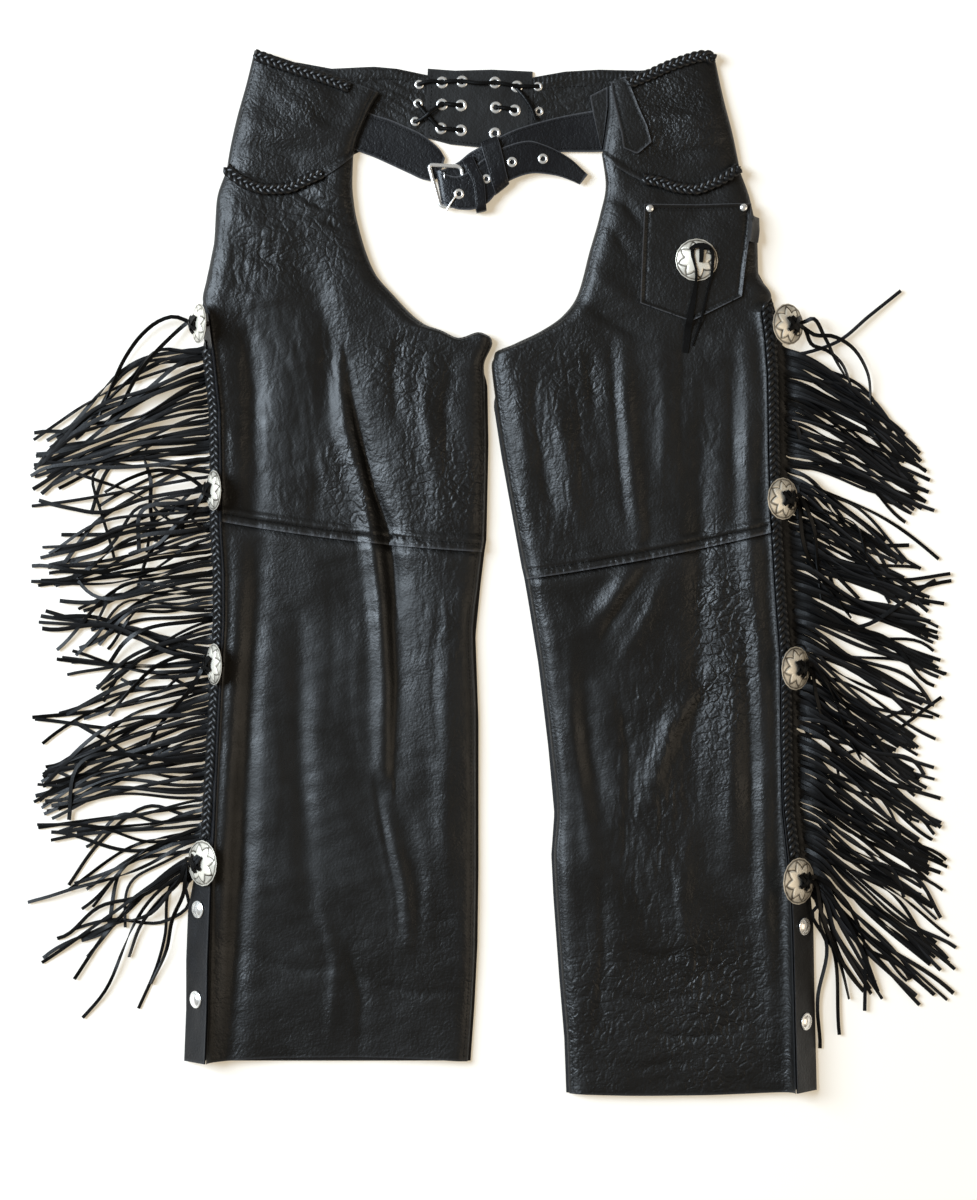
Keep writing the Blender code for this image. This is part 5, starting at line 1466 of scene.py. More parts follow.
def through(controls, count):
    """A smooth line through a few control points."""
    controls = np.array(controls, float)
    run = run_along(controls)
    tangents = np.gradient(controls, run, axis=0)
    at = np.linspace(0, run[-1], count)
    spot = np.clip(np.searchsorted(run, at, side="right") - 1, 0, len(run) - 2)
    length = (run[spot + 1] - run[spot])[:, None]
    t = (at - run[spot])[:, None] / length
    left, right = controls[spot], controls[spot + 1]
    return (
        left * (1 + 2 * t) * (1 - t) ** 2 + right * t**2 * (3 - 2 * t)
        + length * t * (1 - t) * (tangents[spot] * (1 - t) - tangents[spot + 1] * t)
    )


def strand(side, y, places, chance):
    """One strand, from the braid's outer edge over the flap and then by its places to its tip."""
    reach = float(side_read(side, "out", y)) * MM
    level = chance.uniform(1.0, 8.0) * MM
    off = LEATHER / 2 + STRAND_THICKNESS / 2 + 0.2 * MM
    start = slope_point(side, y - ROOT_RISE * reach / UNIT, 2.4 * MM, off)
    edge = slope_point(side, y + 1.5, reach, off)
    toward = plan(*places[0]) - edge
    toward[2] = 0
    fall = edge + np.array([OUTWARD[side] * 0.5, -0.1, 0]) * 12 * MM + toward / np.linalg.norm(toward) * chance.uniform(5, 9) * MM
    fall[2] = level + 1.5 * MM
    middle = [plan(*place, level * (1 - 0.5 * index / len(places))) for index, place in enumerate(places[:-1])]
    end = plan(*places[-1], STRAND_THICKNESS / 2 + 0.3 * MM + chance.uniform(0, 2.5) * MM)
    path = through([start, edge, fall, *middle, end], STRAND_RINGS)
    share = np.linspace(0, 1, STRAND_RINGS)
    heading = (path[-1] - path[0])[:2] / np.linalg.norm((path[-1] - path[0])[:2])
    bend = chance.normal(0, SWAY) * share * np.sin(math.pi * share * chance.uniform(1.2, 3.4) + chance.uniform(0, 3))
    path[:, :2] += np.array([-heading[1], heading[0]]) * bend[:, None]
    path[:, 2] = np.maximum(path[:, 2], STRAND_THICKNESS)
    blend = np.clip(np.linspace(0, 5, STRAND_RINGS), 0, 1)[:, None]
    normals = side_normal(side, y) * (1 - blend) + np.array([0, 0, 1.0]) * blend
    turn = chance.normal(0, 0.7)
    rolls = turn * np.sin(math.pi * share) ** 2 + chance.normal(0, 0.25) * share
    if chance.uniform() < 0.22:
        rolls = rolls + math.pi * np.clip((share - chance.uniform(0.2, 0.5)) * 3, 0, 1)
    return ribbon(path, normals, STRAND_WIDTH * chance.uniform(0.75, 1.12), STRAND_THICKNESS, rolls)


def make_fringe(side, seed):
    chance = np.random.default_rng(seed)
    parts = []
    for bunch in BUNCHES:
        if bunch.side != side:
            continue
        count = round(bunch.count * FULLNESS[side])
        for step in range(count):
            share = (step + 0.5) / count
            y = bunch.y0 + (bunch.y1 - bunch.y0) * share + chance.normal(0, 0.6)
            drift = share * 2 - 1
            wild = 2.4 if chance.uniform() < WILD else 1.0
            gather = [bunch.gather[i] + (0.7 * drift * i + chance.normal(0, 0.6) * wild) * bunch.spread_gather[i] for i in (0, 1)]
            tip = [bunch.tip[i] + (0.6 * drift * i + chance.normal(0, 0.6) * wild) * bunch.spread_tip[i] for i in (0, 1)]
            root = float(side_read(side, "x", y))
            on_line = y + (tip[1] - y) * (gather[0] - root) / (tip[0] - root)
            gather[1] += (on_line - gather[1]) * STRAIGHT[side]
            length = chance.uniform(0.80, 1.05)
            tip = [near + (far - near) * length for near, far in zip(gather, tip)]
            tip[0] = min(max(tip[0], TIP_LIMITS[0]), TIP_LIMITS[1])
            parts.append(strand(side, y, [gather, tip], chance))
    for stray in STRAYS:
        if stray.side == side:
            parts.append(strand(side, stray.y, stray.places, chance))
    points, faces = join(parts)
    made = add_piece(f"fringe_strands_{side}", points, faces, "lace leather", slot="fringe_leather", crisp=40)
    # Painted highlight: each strand's upper edge is painted pale, as if lit.
    pale_edges = np.zeros((len(parts), STRAND_RINGS, 4), np.float32)
    pale_edges[..., UPPER_CORNER[side]] = chance.uniform(0, STRAND_HIGHLIGHT, len(parts))[:, None]
    set_marks(made.data, "edge", pale_edges)
    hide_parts(f"fringe_{side}")
    print(made.name, "strands", len(parts), "faces", len(faces))


for side, seed in FRINGE_SEEDS.items():
    make_fringe(side, seed)

# %% [markdown]
# A concho is a stamped disc of nickel silver with a scalloped rim, a star cut in by a zigzag line and
# a plain middle. Its stamped form is a height that changes with radius and angle.

# %% Conchos
Concho = namedtuple("Concho", "name x y height lean diameter")
CONCHOS = [
    Concho("concho_left_1", 201, 325, 24.0, 64, 38),
    Concho("concho_left_2", 215.5, 491, 24.0, 63, 38),
    Concho("concho_left_3", 216, 664, 24.3, 63, 39),
    Concho("concho_left_4", 204, 862, 22.0, 46, 43),
    Concho("concho_right_1", 787, 325, 16.0, 37, 39),
    Concho("concho_right_2", 781.5, 499, 19.0, 38, 39.5),
    Concho("concho_right_3", 794, 668, 21.4, 44, 41),
    Concho("concho_right_4", 797, 880, 21.2, 43, 44),
]
POINTS_OF_STAR = 8
SPOKES = 144
RING_SHARES = (
    0.08, 0.20, 0.30, 0.38, 0.44, 0.49, 0.53, 0.57, 0.61, 0.65, 0.69,
    0.73, 0.77, 0.81, 0.85, 0.885, 0.915, 0.94, 0.965, 0.985, 1.0,
)


def disc_frame(normal):
    """Two directions across a disc that faces along its normal."""
    across = np.cross([0, 1.0, 0], normal)
    across /= np.linalg.norm(across)
    return across, np.cross(normal, across)


def make_concho(name, centre, normal, diameter, node_name):
    across, other = disc_frame(normal)
    angles = np.linspace(0, 2 * math.pi, SPOKES, endpoint=False)
    shares = np.array(RING_SHARES)[:, None]
    dome = 3.6 * MM * (1 - shares**2) + 0.9 * MM
    saw = np.arcsin(np.sin(angles * POINTS_OF_STAR)) * 2 / math.pi
    inside = 0.70 + 0.15 * saw[None, :] - shares
    star = 0.18 * MM * np.tanh(inside / 0.025)
    groove = -0.75 * MM * np.exp(-((inside / 0.045) ** 2)) - 0.5 * MM * np.exp(-(((shares - 0.925) / 0.025) ** 2))
    height = dome + star + groove
    radius = diameter / 2 * shares * (1 + 0.008 * np.cos(angles * POINTS_OF_STAR * 2)[None, :] * shares**6)
    spoke = np.cos(angles)[:, None] * across + np.sin(angles)[:, None] * other
    rings = centre + radius[..., None] * spoke[None] + height[..., None] * normal
    back = centre + (radius[-1] * 0.985)[:, None] * spoke + normal * 0.1 * MM
    points = np.concatenate([rings.reshape(-1, 3), back, [centre + normal * 4.5 * MM], [centre + normal * 0.1 * MM]])
    count = len(RING_SHARES)
    index = np.arange((count + 1) * SPOKES).reshape(count + 1, SPOKES)
    beside = np.roll(index, -1, axis=1)
    faces = np.stack([index[:-1], beside[:-1], beside[1:], index[1:]], -1).reshape(-1, 4).tolist()
    top, under = len(points) - 2, len(points) - 1
    faces += [[top, a, b] for a, b in zip(index[0], beside[0])]
    faces += [[under, b, a] for a, b in zip(index[-1], beside[-1])]
    relief = (star + groove) / (0.30 * MM) + 0.30
    ridge = np.concatenate([np.clip(relief, -1, 1).ravel(), np.full(SPOKES, -0.3), [0.2, -0.3]])
    made = add_piece(name, points, faces, "concho silver", ridge, "concho_metal", 70)
    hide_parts(node_name)
    return made


for concho in CONCHOS:
    side = concho.name.split("_")[1]
    lean = math.radians(concho.lean)
    normal = np.array([OUTWARD[side] * math.sin(lean), 0, math.cos(lean)])
    centre = plan(concho.x, concho.y, concho.height * MM)
    make_concho(f"{concho.name}_disc", centre, normal, concho.diameter * MM, concho.name)
print("side conchos", len(CONCHOS))

# %% [markdown]
# Each side concho is held by a thong tied through two slots. It shows as a dark double loop on
# the face and two loose tails that fall among the fringe. A short tied post stands behind it.

# %% Thongs and posts of the side conchos
THONG_WIDTH = 3.7 * MM
THONG_THICKNESS = 1.3 * MM
Tail = namedtuple("Tail", "name places")
TAILS = [
    Tail("concho_left_1", [(190, 322, 22), (163, 345, 12), (142, 368, 9), (118, 408, 5), (100, 430, 3)]),
    Tail("concho_left_1", [(190, 318, 22), (175, 317, 14), (159, 321, 10), (142, 334, 8), (126, 355, 6), (110, 388, 4), (98.6, 415, 2)]),
    Tail("concho_left_2", [(206, 486, 22), (190, 478, 12), (160, 470, 9), (130, 478, 7), (104, 492, 4)]),
    Tail("concho_left_2", [(206, 496, 22), (192, 512, 12), (176, 530, 8), (150, 552, 6), (136, 590, 3)]),
    Tail("concho_left_3", [(206, 660, 22), (186, 656, 12), (160, 664, 9), (130, 690, 6), (108, 716, 3)]),
    Tail("concho_left_3", [(206, 670, 22), (190, 690, 12), (170, 712, 8), (150, 740, 5), (140, 768, 3)]),
    Tail("concho_left_4", [(195, 860, 22), (180, 880, 12), (160, 900, 8), (140, 926, 5), (128, 958, 3)]),
    Tail("concho_left_4", [(195, 868, 22), (184, 892, 12), (172, 920, 8), (166, 950, 5), (150, 985, 3)]),
    Tail("concho_right_1", [(792, 312, 20), (812, 319, 14), (824, 336, 11), (836, 360, 8), (846, 376, 5)]),
    Tail("concho_right_1", [(794, 334, 16), (814, 335, 12), (832, 336, 10), (850, 345, 8), (868, 372, 6), (872, 404, 4)]),
    Tail("concho_right_1", [(794, 338, 16), (812, 345, 12), (826, 350, 10), (841, 362, 8), (852, 386, 5)]),
    Tail("concho_right_2", [(792, 498, 20), (804, 504, 14), (814, 530, 10), (818, 566, 7), (822, 600, 4)]),
    Tail("concho_right_2", [(792, 506, 18), (800, 520, 12), (806, 552, 9), (830, 590, 7), (852, 618, 4)]),
    Tail("concho_right_3", [(806, 668, 22), (822, 676, 14), (836, 700, 9), (846, 730, 6), (862, 760, 4)]),
    Tail("concho_right_3", [(804, 676, 20), (816, 696, 12), (824, 724, 8), (836, 760, 6), (842, 790, 3)]),
    Tail("concho_right_4", [(808, 880, 22), (828, 884, 14), (846, 902, 9), (862, 934, 6), (870, 968, 3)]),
    Tail("concho_right_4", [(806, 888, 20), (820, 908, 12), (830, 936, 8), (842, 968, 5), (850, 1000, 3)]),
]
TIE_LOOP = [(-4.6, 3.2), (-4.0, 5.6), (0, 6.9), (4.0, 5.6), (4.6, 3.2)]
TIE_CROSSES = [
    [(-4.0, 6.5, 5.4), (-1.0, 1.0, 8.6), (5.0, -4.0, 7.8), (10.0, -6.0, 5.2)],
    [(-3.0, -6.0, 5.4), (2.0, -1.0, 9.4), (7.0, 4.5, 7.6), (12.0, 7.0, 4.4)],
    [(1.0, 7.5, 5.0), (4.5, 2.0, 8.4), (6.5, -5.0, 6.8), (5.0, -9.0, 4.6)],
]
tails, ties = [], []
for concho in CONCHOS:
    side = concho.name.split("_")[1]
    lean = math.radians(concho.lean)
    normal = np.array([OUTWARD[side] * math.sin(lean), 0, math.cos(lean)])
    outward = np.array([OUTWARD[side] * math.cos(lean), 0, -math.sin(lean)])
    along = np.array([0, 1.0, 0])
    centre = plan(concho.x, concho.y, concho.height * MM)
    for shift, width in ((-1.2, 3.4), (2.6, 3.8), (6.4, 3.8)):
        loop = [centre + along * a * MM + outward * shift * MM + normal * h * MM for a, h in TIE_LOOP]
        ties.append(ribbon(through(loop, 12), np.tile(normal, (12, 1)), width * MM, THONG_THICKNESS))
    for cross in TIE_CROSSES:
        path = through([centre + outward * a * MM + along * b * MM + normal * h * MM for a, b, h in cross], 14)
        ties.append(ribbon(path, np.tile(normal, (14, 1)), 3.6 * MM, THONG_THICKNESS))
    for tail in TAILS:
        if tail.name == concho.name:
            rise = 3.0 if tail.places[0][1] < concho.y + 2 else -3.0
            first = centre + normal * 7.6 * MM + outward * 2 * MM
            rim = centre + normal * 4.4 * MM + outward * concho.diameter * 0.45 * MM + along * rise * MM
            rest = [plan(x, y, z * MM) for x, y, z in tail.places[1:]]
            path = through([first, rim, *rest], 24)
            blend = np.clip(np.linspace(0, 3, 24), 0, 1)[:, None]
            up = normal * (1 - blend) + UP * blend
            tails.append(ribbon(path, up, THONG_WIDTH, THONG_THICKNESS, np.linspace(0, 1.2, 24)))
    post = np.linspace(centre - normal * 9 * MM, centre, 3)
    ties.append(ribbon(post, np.tile(along, (3, 1)), 5 * MM, 5 * MM, sides=6))
add_piece("concho_thong_tails", *join(tails), "lace leather", slot="fringe_leather", crisp=40)
add_piece("concho_ties", *join(ties), "lace leather", slot="fringe_leather", crisp=60)
print("thong tails", len(tails))

# %% [markdown]
# Snap caps, rivets and eyelets are turned nickel: a profile of (radius, height) spun round an
# axis. An eyelet also has a dark hole, which is a small black disc inside its ring: painted shade
# for the shaded hole, over the black leather seen through it.

# %% Snaps, rivets and eyelets


def spun(profile, centre, normal, sides=28):
    """Rings of (radius, height) in metres round an axis, open at the middle of both ends."""
    across, other = disc_frame(normal)
    angles = np.linspace(0, 2 * math.pi, sides, endpoint=False)
    spoke = np.cos(angles)[:, None] * across + np.sin(angles)[:, None] * other
    points = np.concatenate([centre + spoke * r + normal * h for r, h in profile])
    index = np.arange(len(profile) * sides).reshape(len(profile), sides)
    beside = np.roll(index, -1, axis=1)
    faces = np.stack([index[:-1], beside[:-1], beside[1:], index[1:]], -1).reshape(-1, 4).tolist()
    return points, faces + [index[0].tolist(), index[-1].tolist()]


SNAP_CAP = [(7.6, 0.0), (8.3, 0.35), (8.3, 0.9), (7.8, 1.35), (6.9, 1.45), (6.4, 1.3), (5.6, 1.9), (3.6, 2.7), (1.6, 3.0), (0.3, 3.05)]
RIVET_CAP = [(3.3, 0.0), (3.6, 0.4), (3.3, 0.9), (2.5, 1.4), (1.2, 1.75), (0.2, 1.8)]
SNAPS = [("left", 909, 1), ("left", 999, 2), ("right", 926, 1), ("right", 1021, 2)]
for side, y, number in SNAPS:
    centre = slope_point(side, y, 0.0, LEATHER / 2 + 0.1 * MM)
    points, faces = spun([(r * MM, h * MM) for r, h in SNAP_CAP], centre, side_normal(side, y))
    made = add_piece(f"snap_cap_{side}_{number}", points, faces, "bright nickel", slot="nickel", crisp=70)
    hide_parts(f"snap_{side}_{number}")

EYELET = [(2.6, 0.0), (2.6, 0.55), (3.0, 0.95), (4.0, 1.1), (5.1, 0.85), (5.7, 0.35), (5.8, 0.0)]
Eyelet = namedtuple("Eyelet", "x y height diameter lean", defaults=(0,))
BACK_TOP = LEATHER / MM + 0.5
EYELETS = [
    Eyelet(442, 81, BACK_TOP, 11.5), Eyelet(462, 80, BACK_TOP, 11.5),
    Eyelet(495, 81, BACK_TOP, 11.5), Eyelet(517, 85, BACK_TOP, 11.5),
    Eyelet(442, 103, BACK_TOP, 11.5), Eyelet(461, 104, BACK_TOP, 11.5),
    Eyelet(496, 106, BACK_TOP, 11.5), Eyelet(515, 109, BACK_TOP, 11.5),
    Eyelet(441, 127, BACK_TOP, 11.5), Eyelet(461, 129, BACK_TOP, 11.5),
    Eyelet(495, 132, BACK_TOP, 11.5), Eyelet(515, 139, BACK_TOP, 11.5),
    Eyelet(419, 83, BACK_TOP, 9.0), Eyelet(418, 102, BACK_TOP, 9.0), Eyelet(415, 120, BACK_TOP, 9.0),
    Eyelet(538, 85, BACK_TOP, 9.0), Eyelet(539, 110, BACK_TOP, 9.0),
    Eyelet(512, 162, 9.6, 10.0), Eyelet(543, 158.5, 8.2, 10.0),
    Eyelet(459, 194, 10.4, 10.0), Eyelet(486.5, 179, 10.6, 9.0), Eyelet(443.6, 176, 6.2, 9.0, -75),
]
rings, hole_shades = [], []
for eyelet in EYELETS:
    scale = eyelet.diameter / 11.6
    centre = plan(eyelet.x, eyelet.y, eyelet.height * MM)
    lean = math.radians(eyelet.lean)
    facing = np.array([math.sin(lean), 0, math.cos(lean)])
    rings.append(spun([(r * scale * MM, h * scale * MM) for r, h in EYELET], centre, facing, 24))
    # Painted shade: a black disc stands for the shaded hole and the dark leather seen through it.
    hole_shades.append(spun([(2.6 * scale * MM, 0.05 * MM), (2.6 * scale * MM, 0.25 * MM)], centre, facing, 16))
points, faces = join(rings)
add_piece("eyelets", points, faces, "bright nickel", slot="nickel", crisp=70)
points, faces = join(hole_shades)
add_piece("eyelet_holes", points, faces, "eyelet hole shade", slot="fringe_leather")
print("eyelets", len(EYELETS))

# %% [markdown]
# A rawhide lace zigzags through the eyelets at the middle of the back. It is a slim round cord
# that dips to each eyelet and humps a little between them.

# %% Laces
Lace = namedtuple("Lace", "name line")
LACES = [
    Lace("lace_top", [(419, 83, 0.2), (430, 80, 1.2), (442, 81, 0.6), (452, 80, 1.3), (462, 80, 0.6), (478, 82, 1.4), (495, 81.5, 0.6), (506, 83, 1.3), (517, 85, 0.6), (528, 85, 1.3), (538, 85, 0.2)]),
    Lace("lace_left_down", [(417, 102, 0.2), (429, 116, 1.2), (441, 127, 0.5), (451, 128, 1.2), (461, 129, 0.2)]),
    Lace("lace_left_up", [(415, 121, 0.2), (423, 117, 2.2), (429, 112.5, 3.6), (435, 108, 2.0), (442, 103, 0.5), (452, 103.5, 1.2), (461, 104, 0.2)]),
    Lace("lace_right_row", [(496, 106, 0.2), (505, 107, 1.2), (515, 109, 0.2)]),
    Lace("lace_right_down", [(517, 87, 0.4), (526, 98, 2.4), (532, 108, 2.6), (536, 119, 1.8)]),
]
LACE_WIDTH = 4.1 * MM
for lace in LACES:
    base = LEATHER + 2.0 * MM
    path = through([plan(x, y, base + over * MM) for x, y, over in lace.line], 7 * len(lace.line))
    points, faces = ribbon(path, np.tile(UP, (len(path), 1)), LACE_WIDTH, 2.2 * MM, sides=8)
    made = add_piece(f"{lace.name}_cord", points, faces, "lace leather", slot="fringe_leather", crisp=80)
    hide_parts(lace.name)
    length = float(run_along(path)[-1])
    print(lace.name, "is", round(length / MM), "mm long")

# %% [markdown]
# The belt is thicker, smoother strap leather. The right strap turns back on itself round the
# buckle, and its free end lies on top through two keepers. A strap is a band of even thickness
# round rows of two edges; its edges are a little thinner, as if rubbed with wax.

# %% Belt
Strap = namedtuple("Strap", "upper lower height")
BELT_LEATHER = 1.9 * MM
BELT_LEFT = [
    Strap((352, 103), (340, 141), 2.9),
    Strap((374.4, 113.7), (356, 149.4), 2.9),
    Strap((390, 118.6), (374, 156.3), 2.9),
    Strap((405, 125), (391, 164), 2.9),
    Strap((420, 132), (409.6, 172.6), 2.9),
    Strap((431, 140), (423, 178.5), 2.9),
    Strap((440, 148.6), (432, 180), 2.9),
    Strap((445, 157), (439, 176), 2.9),
]
BELT_RIGHT = [
    Strap((614, 106), (614, 150), 2.9),
    Strap((590, 110), (590, 151), 2.9),
    Strap((563, 115), (563, 151), 2.9),
    Strap((536, 122), (532, 156), 4.2),
    Strap((512, 130), (505, 168), 5.2),
    Strap((488, 142.5), (484, 186), 5.2),
    Strap((470, 151.5), (470, 200), 4.0),
    Strap((458, 161), (459, 204), 3.3),
    Strap((444, 168), (450, 204), 3.1),
    Strap((438, 170), (443.5, 203), 4.2),
    Strap((436.5, 171), (442, 203), 6.0),
    Strap((438, 170), (443.5, 204), 7.8),
    Strap((446, 174), (451, 207), 8.9),
    Strap((456, 176.5), (459, 209.5), 9.3),
    Strap((467, 172.5), (469, 210), 9.5),
    Strap((482, 160), (486, 204), 9.6),
    Strap((499, 149), (507, 182), 9.2),
    Strap((529, 140.5), (536, 173), 8.0),
    Strap((546, 145), (555, 175), 7.0),
    Strap((569, 157), (571, 180), 6.2),
    Strap((588, 174), (580, 184), 5.6),
]
KEEPERS = {
    "keeper_wide": [
        Strap((481, 143), (497, 136), 9.0),
        Strap((482, 149), (499, 142), 12.0),
        Strap((487, 166), (503, 158), 12.6),
        Strap((493, 187), (507, 176), 12.0),
        Strap((495.5, 194), (509, 183), 8.5),
        Strap((495, 194), (508.5, 183), 3.0),
        Strap((491, 185), (505, 173), 1.1),
        Strap((483, 152), (500, 146), 2.8),
        Strap((481, 143), (497, 136), 3.8),
    ],
    "keeper_narrow": [
        Strap((462.5, 161), (472.5, 156), 9.0),
        Strap((465, 167), (475.5, 163), 12.0),
        Strap((473.5, 185), (484.5, 184), 12.2),
        Strap((476, 206), (486, 204), 11.8),
        Strap((476.5, 212), (486.5, 209.5), 8.5),
        Strap((476.5, 212), (486.5, 209.5), 3.0),
        Strap((475, 206), (485, 204), 1.0),
        Strap((465, 167), (475.5, 163), 0.9),
        Strap((462.5, 161), (472.5, 156), 2.8),
    ],
}
KEEPER_LEATHER = 1.5 * MM
STRAP_ACROSS = 21
STRAP_SEAM = 2  # the column of a strap that its stitches follow


def strap_net(rows, pitch, thickness, closed=False):
    """Outer and inner faces of a strap, fine along and across, thinner at its edges."""
    firsts = np.array([plan(*s.upper, s.height * MM) for s in rows])
    seconds = np.array([plan(*s.lower, s.height * MM) for s in rows])
    if closed:
        firsts, seconds = np.vstack([firsts, firsts[:1]]), np.vstack([seconds, seconds[:1]])
    middle = (firsts + seconds) / 2
    run = run_along(middle)
    at = np.linspace(0, run[-1], int(run[-1] / pitch) + 2)
    if closed:
        at = at[:-1]
    first = np.stack([smooth_read(run, firsts[:, i], at) for i in range(3)], -1)
    second = np.stack([smooth_read(run, seconds[:, i], at) for i in range(3)], -1)
    share = np.linspace(0, 1, STRAP_ACROSS)[None, :, None]
    net = first[:, None] * (1 - share) + second[:, None] * share
    if closed:
        along = np.roll(net, -1, axis=0) - np.roll(net, 1, axis=0)
    else:
        along = np.gradient(net, axis=0)
    normal = np.cross(np.gradient(net, axis=1), along)
    normal /= np.linalg.norm(normal, axis=-1)[..., None]
    edge = np.abs(2 * share - 1)
    half = thickness / 2 * (1 - 0.35 * edge**10) - 0.2 * MM * np.exp(-(((edge - 0.8) / 0.05) ** 2))
    return net + normal * half, net - normal * half, float(run[-1])


for name, table in (("belt_strap_left", BELT_LEFT), ("belt_strap_right", BELT_RIGHT)):
    upper, lower, length = strap_net(table, 2.4 * MM, BELT_LEATHER)
    # edge=1.0 paints the strap edges pale: partly a worn edge, partly a painted highlight.
    made = shell(f"{name}_shell", upper, lower, "strap leather", "belt_leather", edge=1.0)
    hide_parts(name)
    cut_as(upper, (0.037, length))
    top = np.where(upper[..., 2:] > lower[..., 2:], upper, lower)
    SEAMS.extend([top[:, STRAP_SEAM], top[:, -1 - STRAP_SEAM]])
for name, table in KEEPERS.items():
    upper, lower, length = strap_net(table, 1.2 * MM, KEEPER_LEATHER, closed=True)
    made = shell(f"{name}_shell", upper, lower, "strap leather", "belt_leather", closed=True, edge=0.8)
    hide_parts(name)
    cut_as(upper, (0.0215 if "wide" in name else 0.0107, length))
print("belt pieces done")

# %% [markdown]
# The buckle is a bent nickel bar with a prong. A slim tube round the solids' own line does it,
# with more sides and a softer path than the solid has.

# %% Buckle
BUCKLE_CORNERS = [(428.5, 164, 5.9), (461, 166, 6.0), (469, 205.5, 6.2), (440.5, 206.5, 5.9)]
BUCKLE_TURN = 4.5 * MM


def rounded_loop(corners, turn, count):
    """A closed line with rounded corners, its places evenly apart."""
    places = []
    for index, corner in enumerate(corners):
        before, after = corners[index - 1] - corner, corners[(index + 1) % len(corners)] - corner
        first, last = (corner + way / np.linalg.norm(way) * turn for way in (before, after))
        for t in np.linspace(0, 1, 7):
            places.append(first * (1 - t) ** 2 + corner * 2 * t * (1 - t) + last * t**2)
    places = np.array([*places, places[0]])
    run = run_along(places)
    at = np.linspace(0, run[-1], count, endpoint=False)
    return np.stack([np.interp(at, run, places[:, i]) for i in range(3)], -1)


PRONG_LINE = [(456.5, 195, 11.5), (451, 203, 11.2), (446, 211.5, 9.4)]
path = rounded_loop([plan(x, y, z * MM) for x, y, z in BUCKLE_CORNERS], BUCKLE_TURN, 90)
points, faces = ribbon(path, np.tile(UP, (len(path), 1)), 4.0 * MM, 3.4 * MM, sides=12, closed=True)
made = add_piece("buckle_bar", points, faces, "bright nickel", slot="nickel", crisp=80)
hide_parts("buckle_frame")
path = through([plan(x, y, z * MM) for x, y, z in PRONG_LINE], 14)
points, faces = ribbon(path, np.tile(UP, (len(path), 1)), 1.9 * MM, 1.9 * MM, sides=10)
made = add_piece("buckle_tongue", points, faces, "bright nickel", slot="nickel", crisp=80)
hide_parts("buckle_prong")
print("buckle done")

# %% [markdown]
# The pocket is a patch with a pointed hem, laid on the right hip. Its outline is turned under and
# topstitched, so a rolled rim runs round it. It takes its height from the thigh below.

# %% Pocket, label and loops
POCKET_ROWS = [
    ((644, 205), (751, 204), 1),
    ((643.5, 222), (750, 221), 1),
    ((642, 250), (747.5, 246), 2),
    ((641, 278), (744, 272), 10),
    ((640, 304), (741, 297), 21.5),
]
LOOP_ROWS = [
    ((610.5, 81), (626, 77), 0),
    ((612, 92), (631, 89), 0),
    ((616, 112), (638, 107), 0),
    ((621, 134), (647, 128), 0),
    ((623, 149), (651, 143), 9),
]
FLAP_ROWS = [((590, 95), (607.6, 86), 0), ((593, 112), (607.6, 106), 0), ((598, 134), (604.6, 130), 0), ((601, 148), (602, 147), 0)]
LABEL_ROWS = [((748, 216), (760, 217), 0), ((748, 229), (760, 230), 0), ((746, 242), (758, 243), 0)]


def laid_net(rows, along, across, below, clear, reach):
    keys = np.arange(len(rows))
    at = np.linspace(0, len(rows) - 1, along)
    first = np.array([r[0] for r in rows], float)
    second = np.array([r[1] for r in rows], float)
    hang = np.interp(at, keys, [r[2] for r in rows])[:, None]
    ends = [np.stack([np.interp(at, keys, part[:, i]) for i in (0, 1)], -1)[:, None] for part in (first, second)]
    share = np.linspace(0, 1, across)[None, :]
    places = ends[0] * (1 - share[..., None]) + ends[1] * share[..., None]
    x, y = places[..., 0], places[..., 1] + hang * (1 - abs(2 * share - 1))
    net = plan(x, y)
    heights = np.array([[below.around(p[0], p[1], reach) for p in line] for line in net])
    heights = np.maximum(softened(heights, 3), heights - 0.4 * MM)
    net[..., 2] = heights + clear
    return net


def raise_rim(net, inset, height, sides=(True, True, True, True)):
    """How far each point of a net is from its rim, as a rolled edge and a stitched groove."""
    far = np.full(net.shape[:2], 1.0)
    for use, line in zip(sides, (net[:1], net[-1:], net[:, :1], net[:, -1:])):
        if use:
            far = np.minimum(far, np.linalg.norm((net - line)[..., :2], axis=-1))
    roll = height * np.exp(-((far / (inset * 0.6)) ** 2))
    groove = -0.5 * height * np.exp(-(((far - inset) / (0.35 * inset)) ** 2))
    return roll + groove


thigh_right = Below(FRONTS["right"]["thigh"])
net = laid_net(POCKET_ROWS, 84, 84, thigh_right, 0.7 * MM, 3 * MM)
upper = net.copy()
upper[..., 2] += LEATHER + raise_rim(net, 4.2 * MM, 1.1 * MM)
# edge=1.0 paints the pocket's rim pale: partly a worn edge, partly a painted highlight.
pocket = shell("pocket_shell", upper, net, "panel leather", edge=1.0)
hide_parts("pocket")
cut_as(upper, (0.108, 0.118))

yoke_right = Below(FRONTS["right"]["yoke"])
net = laid_net(LOOP_ROWS, 40, 14, yoke_right, 0.7 * MM, 3 * MM)
upper = net.copy()
upper[..., 2] += 1.8 * MM + raise_rim(net, 3.2 * MM, 0.5 * MM)
loop = shell("belt_loop_shell", upper, net, "panel leather", edge=0.8)
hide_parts("belt_loop_right")
cut_as(upper, (0.027, 0.08))

x, y = net_between([row[:2] for row in FLAP_ROWS], 24, 10)
upper, lower = plan(x, y, 6.0 * MM), plan(x, y, 4.6 * MM)
flap = shell("yoke_flap_shell", upper, lower, "panel leather", edge=0.8)
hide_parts("yoke_flap_right")
cut_as(upper, (0.02, 0.055))

